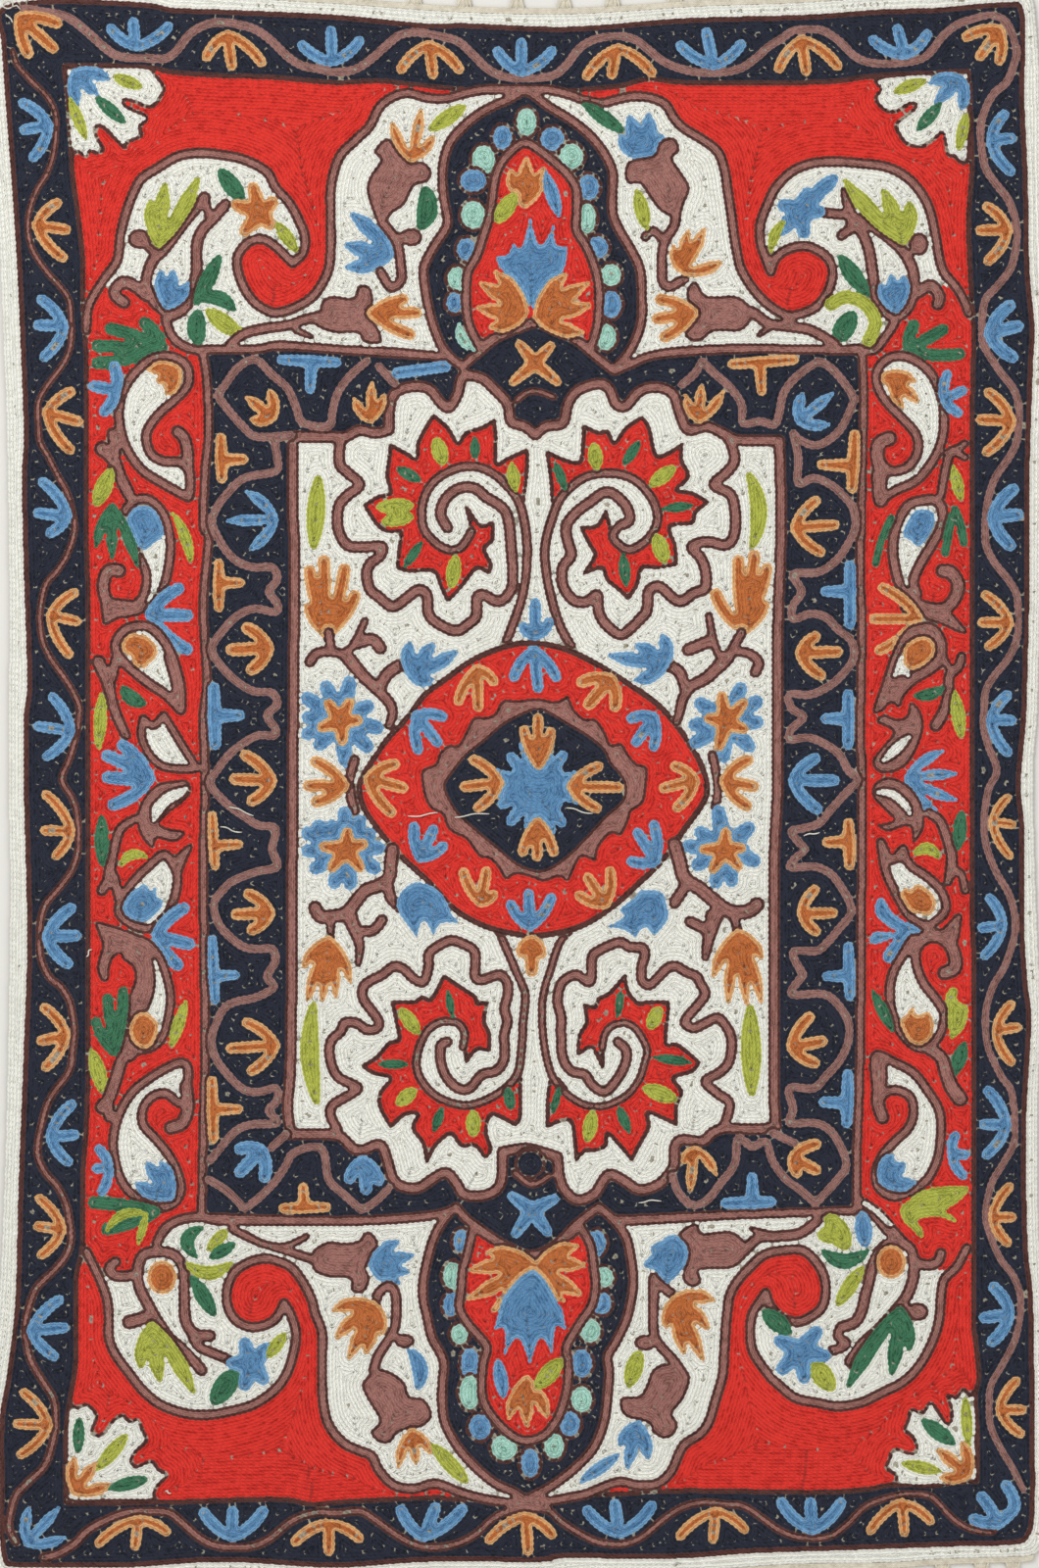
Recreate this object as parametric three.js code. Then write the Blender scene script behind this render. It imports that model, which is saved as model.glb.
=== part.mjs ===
// A chain stitch rug lying flat: one embroidered cloth panel with a cotton fringe at each end.
// Millimetres, +Z up. X runs across the rug, Y along it, and the underside lies at z = 0.
import * as THREE from 'three';

// Driving dimensions.
const CLOTH_THICKNESS = 4.0; // canvas, its backing cloth and the wool chain stitch on top
const CORNER_RADIUS = 9; // the sewn corners are a little round
const FRINGE_THICKNESS = 2.6; // a tassel of twisted cotton, pressed flat by its own weight
const BAND_WIDTH = 4; // smooth cotton band that holds the tassels
const SEAM_GAP = 0.3; // clearance between the cloth and the fringe band
const EDGE_STEP = 6; // spacing of the points along an edge curve
const TASSEL = { length: 36, rootWidth: 11, waistWidth: 5.5, waistAt: 8, tipWidth: 9, tipRound: 3 };
const LEAN = { most: 3.5, step: 1.9 }; // how far a tassel's tip strays sideways, and how it varies

// The cloth is hand stretched, so its edges wander: the ends sag and the long sides are waisted.
// Each station gives where it is along the edge and how far out the edge lies there.
const TOP_EDGE = [
  { x: -297, y: 462 }, { x: -265, y: 462.5 }, { x: -208, y: 460 }, { x: -151, y: 456 },
  { x: -94, y: 452.5 }, { x: -37, y: 448.5 }, { x: 20, y: 447 }, { x: 62, y: 448.5 },
  { x: 105, y: 451.5 }, { x: 162, y: 453.5 }, { x: 219, y: 457 }, { x: 276, y: 459.5 },
  { x: 293, y: 460 },
];
const RIGHT_EDGE = [
  { x: 302, y: 451 }, { x: 304.5, y: 416 }, { x: 305.5, y: 348 }, { x: 308, y: 250 },
  { x: 306, y: 208 }, { x: 305, y: 108 }, { x: 303.5, y: 42 }, { x: 301, y: 6 },
  { x: 302.5, y: -63 }, { x: 305, y: -131 }, { x: 303.5, y: -200 }, { x: 304.5, y: -268 },
  { x: 308.5, y: -340 }, { x: 308.5, y: -405 }, { x: 307, y: -438 },
];
const BOTTOM_EDGE = [
  { x: 296, y: -449 }, { x: 248, y: -450.5 }, { x: 219, y: -452.5 }, { x: 162, y: -453.5 },
  { x: 105, y: -457 }, { x: 48, y: -457.5 }, { x: 20, y: -459.5 }, { x: -37, y: -459.5 },
  { x: -94, y: -462 }, { x: -122, y: -461.5 }, { x: -179, y: -459 }, { x: -236, y: -462 },
  { x: -299, y: -463 },
];
const LEFT_EDGE = [
  { x: -308.5, y: -453 }, { x: -308, y: -370 }, { x: -303, y: -336 }, { x: -299, y: -302 },
  { x: -296, y: -234 }, { x: -294, y: -165 }, { x: -292.5, y: -63 }, { x: -293.5, y: 6 },
  { x: -293, y: 108 }, { x: -294.5, y: 211 }, { x: -296, y: 245 }, { x: -298.5, y: 313 },
  { x: -301, y: 348 }, { x: -304, y: 382 }, { x: -306, y: 453 },
];

// Where each tassel hangs from its band.
const TOP_TASSELS_X = [
  -290, -263, -233, -204, -176, -146, -117, -88, -58, -29, 1, 29, 57.5, 93, 121, 150, 178, 207,
  236, 262, 286,
];
const BOTTOM_TASSELS_X = [
  -292, -266, -237, -208, -181, -152, -124, -95, -67, -38, -9, 20, 48, 77, 105, 134, 162, 191,
  219.5, 249, 272, 289.5,
];

const wool = new THREE.MeshStandardMaterial({ color: 0xa83434, roughness: 0.95, metalness: 0 });
const cotton = new THREE.MeshStandardMaterial({ color: 0xddd6c0, roughness: 0.9, metalness: 0 });

// A smooth run of points through an edge's stations.
function edgePoints(stations) {
  const curve = new THREE.SplineCurve(stations.map((s) => new THREE.Vector2(s.x, s.y)));
  return curve.getSpacedPoints(Math.round(curve.getLength() / EDGE_STEP));
}

// A round corner between the last point of one edge and the first of the next.
function cornerPoints(from, to) {
  const corner = new THREE.Vector2(
    Math.abs(from.x) > Math.abs(to.x) ? from.x : to.x,
    Math.abs(from.y) > Math.abs(to.y) ? from.y : to.y,
  );
  const curve = new THREE.QuadraticBezierCurve(from, corner, to);
  return curve.getPoints(Math.round(CORNER_RADIUS / 2)).slice(1, -1);
}

// A flat piece of cloth of the given outline, resting on z = 0.
function flatPiece(name, points, thickness, material) {
  const geometry = new THREE.ExtrudeGeometry(new THREE.Shape(points), {
    depth: thickness,
    bevelEnabled: false,
    steps: 1,
  });
  const piece = new THREE.Mesh(geometry, material);
  piece.name = name;
  return piece;
}

// The embroidered cloth: the four edges in turn, joined by round corners.
function stitchedPanel() {
  const edges = [TOP_EDGE, RIGHT_EDGE, BOTTOM_EDGE, LEFT_EDGE].map(edgePoints);
  const outline = [];
  edges.forEach((edge, i) => {
    const next = edges[(i + 1) % edges.length];
    outline.push(...edge, ...cornerPoints(edge[edge.length - 1], next[0]));
  });
  return flatPiece('stitched_panel', outline, CLOTH_THICKNESS, wool);
}

// Height of an edge at x, by straight lines between its points.
function edgeAt(points, x) {
  const i = points.findIndex((p, k) => k > 0 && (p.x - x) * (points[k - 1].x - x) <= 0);
  const [a, b] = [points[i - 1], points[i]];
  return a.y + ((b.y - a.y) * (x - a.x)) / (b.x - a.x);
}

// One tassel's outline from its left root to its right root: flared at the band, drawn in at
// the waist, and loose again at the tip. side is +1 at the top end and -1 at the bottom end.
function tasselPoints(x, bandY, side, lean) {
  const half = [
    { across: TASSEL.rootWidth / 2, along: 0 },
    { across: TASSEL.waistWidth / 2 + 0.6, along: TASSEL.waistAt / 2 },
    { across: TASSEL.waistWidth / 2, along: TASSEL.waistAt },
    { across: TASSEL.tipWidth / 2, along: TASSEL.length - TASSEL.tipRound },
    { across: TASSEL.tipWidth / 4, along: TASSEL.length },
  ];
  const place = (across, along) => new THREE.Vector2(
    x + across + (lean * along) / TASSEL.length,
    bandY(x + (along === 0 ? across : 0)) + side * along,
  );
  const left = half.map((p) => place(-p.across, p.along));
  const right = half.map((p) => place(p.across, p.along)).reverse();
  return [...left, ...right];
}

// The fringe is one comb along an end of the cloth: a band with a row of tassels.
function fringe(name, stations, tassels, side) {
  const edge = edgePoints(stations).sort((a, b) => a.x - b.x);
  const innerEdge = edge.map((p) => new THREE.Vector2(p.x, p.y + side * SEAM_GAP));
  const bandY = (x) => edgeAt(edge, x) + side * (SEAM_GAP + BAND_WIDTH);
  const outline = innerEdge.reverse();
  outline.push(new THREE.Vector2(edge[0].x, bandY(edge[0].x)));
  tassels.forEach((x, i) => {
    const lean = LEAN.most * Math.sin(LEAN.step * i + side);
    outline.push(...tasselPoints(x, bandY, side, lean));
  });
  const last = edge[edge.length - 1];
  outline.push(new THREE.Vector2(last.x, bandY(last.x)));
  return flatPiece(name, outline, FRINGE_THICKNESS, cotton);
}

const rug = new THREE.Group();
rug.name = 'chain_stitch_rug';
rug.add(stitchedPanel());
rug.add(fringe('fringe_top', TOP_EDGE, TOP_TASSELS_X, 1));
rug.add(fringe('fringe_bottom', BOTTOM_EDGE, BOTTOM_TASSELS_X, -1));

// The origin is the middle of the rug's footprint.
const middle = new THREE.Box3().setFromObject(rug).getCenter(new THREE.Vector3());
rug.position.set(-middle.x, -middle.y, 0);

export default rug;
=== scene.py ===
"""Chain stitch rug: wool rows laid over a cotton cloth, with whipped cotton fringes at both ends.

The pattern is given in millimetres about the rug's centre and painted into a chart of half-millimetre
cells. The chart is then stitched: rows of chain stitch follow every outline inwards, as the
embroiderer works.
"""
import logging
import math
from dataclasses import dataclass, field
from enum import Enum
from typing import Iterable, Optional, Sequence

import bpy
import numpy as np
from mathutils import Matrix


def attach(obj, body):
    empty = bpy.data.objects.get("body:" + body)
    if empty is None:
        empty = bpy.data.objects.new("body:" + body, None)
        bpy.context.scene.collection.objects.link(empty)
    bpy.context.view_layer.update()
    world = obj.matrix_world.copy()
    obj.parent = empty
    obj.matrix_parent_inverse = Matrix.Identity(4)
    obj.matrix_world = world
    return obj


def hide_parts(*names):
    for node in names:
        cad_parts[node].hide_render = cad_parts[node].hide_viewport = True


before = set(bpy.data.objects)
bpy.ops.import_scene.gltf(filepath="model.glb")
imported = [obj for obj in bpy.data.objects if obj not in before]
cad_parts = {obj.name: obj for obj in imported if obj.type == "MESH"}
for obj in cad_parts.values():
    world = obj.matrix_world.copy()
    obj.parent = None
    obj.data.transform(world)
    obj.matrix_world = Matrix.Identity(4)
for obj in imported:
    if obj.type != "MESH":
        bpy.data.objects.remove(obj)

LOG = logging.getLogger("rug")
MM = 0.001
BROAD_PETAL = 8.5  # mm; petals from this width up are worked slimmer and pointed
Point = tuple[float, float]
Path = Sequence[Point]


class Yarn(Enum):
    """Yarns of the rug; the value is the number that the chart holds.

    OUTSIDE marks the cells beyond the cloth's outline, and no piece is made of it.
    """

    OUTSIDE = 0
    CREAM = 1
    NAVY = 2
    RED = 3
    BROWN = 4
    DARK_BROWN = 5
    RUST = 6
    TAN = 7
    BLUE = 8
    LIGHT_BLUE = 9
    OLIVE = 10
    GREEN = 11
    MINT = 12
    MAUVE = 13


# The yarn worked as the first row along an outline, where it differs from the filling.
RIM = {Yarn.BROWN: Yarn.DARK_BROWN, Yarn.RUST: Yarn.TAN, Yarn.BLUE: Yarn.LIGHT_BLUE}


def linear(hex_colour: str) -> tuple[float, float, float, float]:
    """Turns an sRGB hex colour into the linear colour that a shader takes.

    Args:
        hex_colour: Six hex digits with a leading #.

    Returns:
        Red, green, blue and alpha, linear.
    """
    parts = [int(hex_colour[i : i + 2], 16) / 255 for i in (1, 3, 5)]
    straight = [c / 12.92 if c <= 0.04045 else ((c + 0.055) / 1.055) ** 2.4 for c in parts]
    return (straight[0], straight[1], straight[2], 1.0)


def curve(points: Path, closed: bool = False, step: float = 1.5) -> np.ndarray:
    """Runs a smooth line through the points; a point given twice is a sharp corner.

    Args:
        points: The points of the line, in mm.
        closed: True where the line returns to its start.
        step: The greatest length of one straight piece, in mm.

    Returns:
        The line's points, one row each.
    """
    p = np.asarray(points, dtype=float)
    if closed:
        before, after = np.roll(p, 1, axis=0), np.roll(p, -1, axis=0)
    else:
        before = np.vstack([p[:1], p[:-1]])
        after = np.vstack([p[1:], p[-1:]])
    slope = (after - before) / 2
    count = len(p) if closed else len(p) - 1
    line = []
    for i in range(count):
        a, b = p[i], p[(i + 1) % len(p)]
        length = float(np.hypot(*(b - a)))
        if length < 1e-6:
            continue
        ma, mb = slope[i], slope[(i + 1) % len(p)]
        t = np.linspace(0, 1, max(2, math.ceil(length / step)) + 1)[:-1, None]
        line.append(
            (2 * t**3 - 3 * t**2 + 1) * a
            + (t**3 - 2 * t**2 + t) * ma
            + (3 * t**2 - 2 * t**3) * b
            + (t**3 - t**2) * mb
        )
    line.append(p[:1] if closed else p[-1:])
    return np.vstack(line)


class Chart:
    """The rug's chart: one yarn for each half-millimetre cell, painted over by later motifs."""

    CELL = 0.5

    def __init__(self, outline: np.ndarray) -> None:
        """Lays a chart that covers the outline, with nothing painted yet.

        Args:
            outline: The cloth's closed outline, in mm.
        """
        reach = np.abs(outline).max(axis=0) + 3
        self.columns = int(2 * reach[0] / self.CELL)
        self.rows = int(2 * reach[1] / self.CELL)
        self.left = -self.columns * self.CELL / 2
        self.foot = -self.rows * self.CELL / 2
        self.yarn = np.full((self.rows, self.columns), Yarn.OUTSIDE.value, np.uint8)

    def window(self, lo: np.ndarray, hi: np.ndarray) -> tuple[slice, slice, np.ndarray, np.ndarray]:
        """Finds the cells in a box.

        Args:
            lo: The box's lowest corner, in mm.
            hi: The box's highest corner, in mm.

        Returns:
            The row and column slices, and the cells' X and Y.
        """
        c0 = int(np.clip((lo[0] - self.left) / self.CELL - 1, 0, self.columns))
        c1 = int(np.clip((hi[0] - self.left) / self.CELL + 2, 0, self.columns))
        r0 = int(np.clip((lo[1] - self.foot) / self.CELL - 1, 0, self.rows))
        r1 = int(np.clip((hi[1] - self.foot) / self.CELL + 2, 0, self.rows))
        x = self.left + (np.arange(c0, c1) + 0.5) * self.CELL
        y = self.foot + (np.arange(r0, r1) + 0.5) * self.CELL
        return slice(r0, r1), slice(c0, c1), x[None, :], y[:, None]

    def fill(self, line: np.ndarray, yarn: Yarn) -> None:
        """Paints everything inside a closed line.

        Args:
            line: The closed line, in mm.
            yarn: The yarn it is worked in.
        """
        rows, columns, x, y = self.window(line.min(axis=0), line.max(axis=0))
        inside = np.zeros((y.shape[0], x.shape[1]), bool)
        ys, xs = y[:, 0], x[0]
        for (ax, ay), (bx, by) in zip(line, np.roll(line, -1, axis=0)):
            if ay == by:
                continue
            hit = np.nonzero((ys >= min(ay, by)) & (ys < max(ay, by)))[0]
            if not len(hit):
                continue
            cross = ax + (ys[hit] - ay) * (bx - ax) / (by - ay)
            inside[hit] ^= xs[None, :] > cross[:, None]
        self.yarn[rows, columns][inside] = yarn.value

    def stroke(self, line: np.ndarray, half: np.ndarray, yarn: Yarn) -> None:
        """Paints a band along a line.

        Args:
            line: The line's points, in mm.
            half: Half of the band's width at each point, in mm.
            yarn: The yarn it is worked in.
        """
        for a, b, ha, hb in zip(line[:-1], line[1:], half[:-1], half[1:]):
            reach = max(ha, hb)
            rows, columns, x, y = self.window(np.minimum(a, b) - reach, np.maximum(a, b) + reach)
            along = b - a
            length = max(float(along @ along), 1e-9)
            t = np.clip(((x - a[0]) * along[0] + (y - a[1]) * along[1]) / length, 0, 1)
            gap = np.hypot(x - a[0] - t * along[0], y - a[1] - t * along[1])
            self.yarn[rows, columns][gap <= ha + (hb - ha) * t] = yarn.value


class Motif:
    """Anything that is worked on the rug; later motifs lie over earlier ones."""

    def paint(self, chart: Chart) -> None:
        """Paints the motif into the chart."""
        raise NotImplementedError


@dataclass(frozen=True)
class Band(Motif):
    """A band of rows along a line. width and end are its widths at the start and the end, in mm."""

    yarn: Yarn
    width: float
    path: Path
    end: Optional[float] = None
    closed: bool = False

    def paint(self, chart: Chart) -> None:
        """Paints the band along its smooth line."""
        line = curve(self.path, self.closed)
        last = self.width if self.end is None else self.end
        chart.stroke(line, np.linspace(self.width, last, len(line)) / 2, self.yarn)


@dataclass(frozen=True)
class Patch(Motif):
    """A filled shape, with an outline of its own where rim is given."""

    yarn: Yarn
    path: Path
    rim: Optional[Yarn] = None
    edge: float = 2.0

    def paint(self, chart: Chart) -> None:
        """Fills the shape, then works its outline."""
        line = curve(self.path, True)
        chart.fill(line, self.yarn)
        if self.rim is not None:
            chart.stroke(line, np.full(len(line), self.edge / 2), self.rim)


@dataclass(frozen=True)
class Leaf(Motif):
    """A leaf pointed at both ends. bend is how far its middle lies to the left of the straight line."""

    yarn: Yarn
    width: float
    start: Point
    tip: Point
    bend: float = 0.0
    blunt: float = 0.35

    def paint(self, chart: Chart) -> None:
        """Paints the leaf along its bent middle line."""
        a, b = np.array(self.start, float), np.array(self.tip, float)
        along = b - a
        length = np.hypot(*along)
        side = np.array([-along[1], along[0]]) / max(float(length), 1e-9)
        t = np.linspace(0, 1, max(6, int(length / 2)))
        swell = self.blunt + (1 - self.blunt) * np.sin(np.pi * t) ** 0.8
        inset = self.width * self.blunt / 2
        bow = side * (self.bend * 4 * t * (1 - t))[:, None]
        line = a + bow + along * (inset / length + t * (1 - 2 * inset / length))[:, None]
        chart.stroke(line, self.width / 2 * swell, self.yarn)


@dataclass(frozen=True)
class Sprig(Motif):
    """Petals that spread from one foot: thin ones are round at their tips, broad ones are pointed."""

    yarn: Yarn
    width: float
    foot: Point
    tips: Path
    bow: float = 0.07

    def paint(self, chart: Chart) -> None:
        """Paints each petal; the outer ones bow away from the middle."""
        foot = np.array(self.foot, float)
        tips = np.array(self.tips, float)
        mean = (tips - foot).mean(axis=0)
        mean_length = max(float(np.hypot(*mean)), 1e-6)
        slim = self.width >= BROAD_PETAL
        wide = self.width * (0.8 if slim else 1.0)
        for tip in tips:
            along = tip - foot
            length = max(float(np.hypot(*along)), 1e-6)
            side = np.array([-along[1], along[0]]) / length
            turn = float(mean[0] * along[1] - mean[1] * along[0]) / (length * mean_length)
            reach = length - wide * (0.25 if slim else 0.42)
            t = np.linspace(0, 1, max(4, int(length / 2)))
            bend = np.sign(turn) * min(abs(turn) * 1.5, 1) * self.bow * length
            bow = side * (bend * 4 * t * (1 - t))[:, None]
            line = foot + along / length * (reach * t)[:, None] + bow
            if slim:
                half = wide / 2 * np.interp(t, (0, 0.3, 0.7, 1), (0.55, 0.9, 1.0, 0.35))
            else:
                half = wide / 2 * (0.62 + 0.38 * np.sin(np.pi * np.clip(0.15 + 0.6 * t, 0, 1)) ** 0.7)
            chart.stroke(line, half, self.yarn)


@dataclass(frozen=True)
class Tee(Motif):
    """A bar with a stem from its middle."""

    yarn: Yarn
    width: float
    start: Point
    end: Point
    stem: Point

    def paint(self, chart: Chart) -> None:
        """Paints the bar, then its stem."""
        a, b, tip = (np.array(p, float) for p in (self.start, self.end, self.stem))
        along = (b - a) / np.hypot(*(b - a))
        inset = self.width / 2
        bar = np.linspace(a + along * inset, b - along * inset, 10)
        chart.stroke(bar, self.width / 2 * (0.86 + 0.14 * np.sin(np.linspace(0, np.pi, 10))), self.yarn)
        root = a + along * float((tip - a) @ along)
        out = (tip - root) / np.hypot(*(tip - root))
        stem = np.linspace(root, tip - out * inset, 8)
        chart.stroke(stem, np.linspace(self.width * 0.56, self.width * 0.42, 8), self.yarn)


@dataclass(frozen=True)
class Star(Motif):
    """A flower with a round heart and a petal to each tip."""

    yarn: Yarn
    width: float
    centre: Point
    tips: Path
    heart: float = 8.0

    def paint(self, chart: Chart) -> None:
        """Paints the heart and the petals."""
        centre = np.array(self.centre, float)
        chart.stroke(np.array([centre, centre + 0.01]), np.full(2, self.heart), self.yarn)
        for tip in self.tips:
            along = np.array(tip, float) - centre
            length = max(float(np.hypot(*along)), 1e-6)
            end = centre + along * (1 - self.width * 0.4 / length)
            line = np.linspace(centre, end, 6)
            chart.stroke(line, self.width / 2 * np.array([1.25, 1.2, 1.12, 1.02, 0.92, 0.8]), self.yarn)


@dataclass(frozen=True)
class Dot(Motif):
    """A round or oval spot. across and high are its full sizes, in mm."""

    yarn: Yarn
    centre: Point
    across: float
    high: float
    rim: Optional[Yarn] = None

    def paint(self, chart: Chart) -> None:
        """Fills the oval, then works its outline."""
        turn = np.linspace(0, 2 * math.pi, 37)
        spread = np.stack([np.cos(turn) * self.across / 2, np.sin(turn) * self.high / 2], axis=1)
        line = np.array(self.centre, float) + spread
        chart.fill(line, self.yarn)
        if self.rim is not None:
            chart.stroke(line, np.full(len(line), 1.0), self.rim)


# Short names of the yarns, for the tables of motifs. Every table is in mm about the rug's centre.
N, RD, C = Yarn.NAVY, Yarn.RED, Yarn.CREAM
BR, DK, MV = Yarn.BROWN, Yarn.DARK_BROWN, Yarn.MAUVE
RU, BL, OL, GR, MI = Yarn.RUST, Yarn.BLUE, Yarn.OLIVE, Yarn.GREEN, Yarn.MINT

# The grounds, from the edge inwards: the navy border and the red ground.
GROUNDS: tuple[Motif, ...] = (
    Patch(N, ((-298,450),(-297,432),(-295,403),(-293,376),(-291,350),(-288,304),(-286,260),(-284,205),
        (-285,177),(-284,127),(-282,60),(-284,38),(-284,0),(-282,-89),(-284,-155),(-287,-234),(-289,-302),
        (-294,-345),(-298,-370),(-298,-411),(-298,-435),(-296,-451),(-290,-454),(-249,-454),(-221,-454),
        (-171,-451),(-117,-454),(-94,-454),(-50,-451),(16,-451),(27,-449),(94,-449),(138,-446),(200,-444),
        (256,-442),(290,-441),(298,-437),(301,-422),(301,-370),(300,-300),(297,-268),(296,-200),(299,-139),
        (297,-117),(295,-84),(295,-28),(293,0),(296,38),(297,71),(298,115),(298,177),(300,243),(301,265),
        (298,300),(297,353),(295,400),(295,448),(284,453),(245,450),(212,449),(170,446),(100,444),(50,440),
        (20,439),(-28,441),(-53,441),(-105,446),(-171,449),(-199,450),(-215,453),(-267,455)), DK, 3),
    Patch(RD, ((-262,418),(-262,418),(-260,398),(-258,370),(-257,354),(-254,332),(-251,304),(-251,279),
        (-249,243),(-249,150),(-248,104),(-248,0),(-248,-155),(-249,-200),(-251,-228),(-251,-267),
        (-255,-289),(-255,-333),(-258,-355),(-260,-367),(-261,-385),(-261,-418),(-261,-418),(-209,-418),
        (-140,-416),(-119,-419),(-105,-418),(-89,-417),(-47,-415),(-36,-416),(5,-417),(16,-417),(38,-413),
        (58,-413),(99,-411),(175,-412),(207,-410),(217,-408),(245,-408),(256,-406),(269,-406),(269,-406),
        (269,-378),(268,-356),(270,-345),(268,-322),(267,-300),(267,-117),(266,-73),(266,0),(266,200),
        (267,260),(266,277),(264,326),(266,363),(264,415),(264,415),(256,414),(212,412),(189,409),
        (170,408),(133,408),(98,408),(78,410),(61,406),(41,404),(32,403),(-23,403),(-32,404),(-61,407),
        (-79,409),(-105,408),(-140,411),(-171,412),(-199,414),(-215,417)), DK, 3),
)

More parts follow.
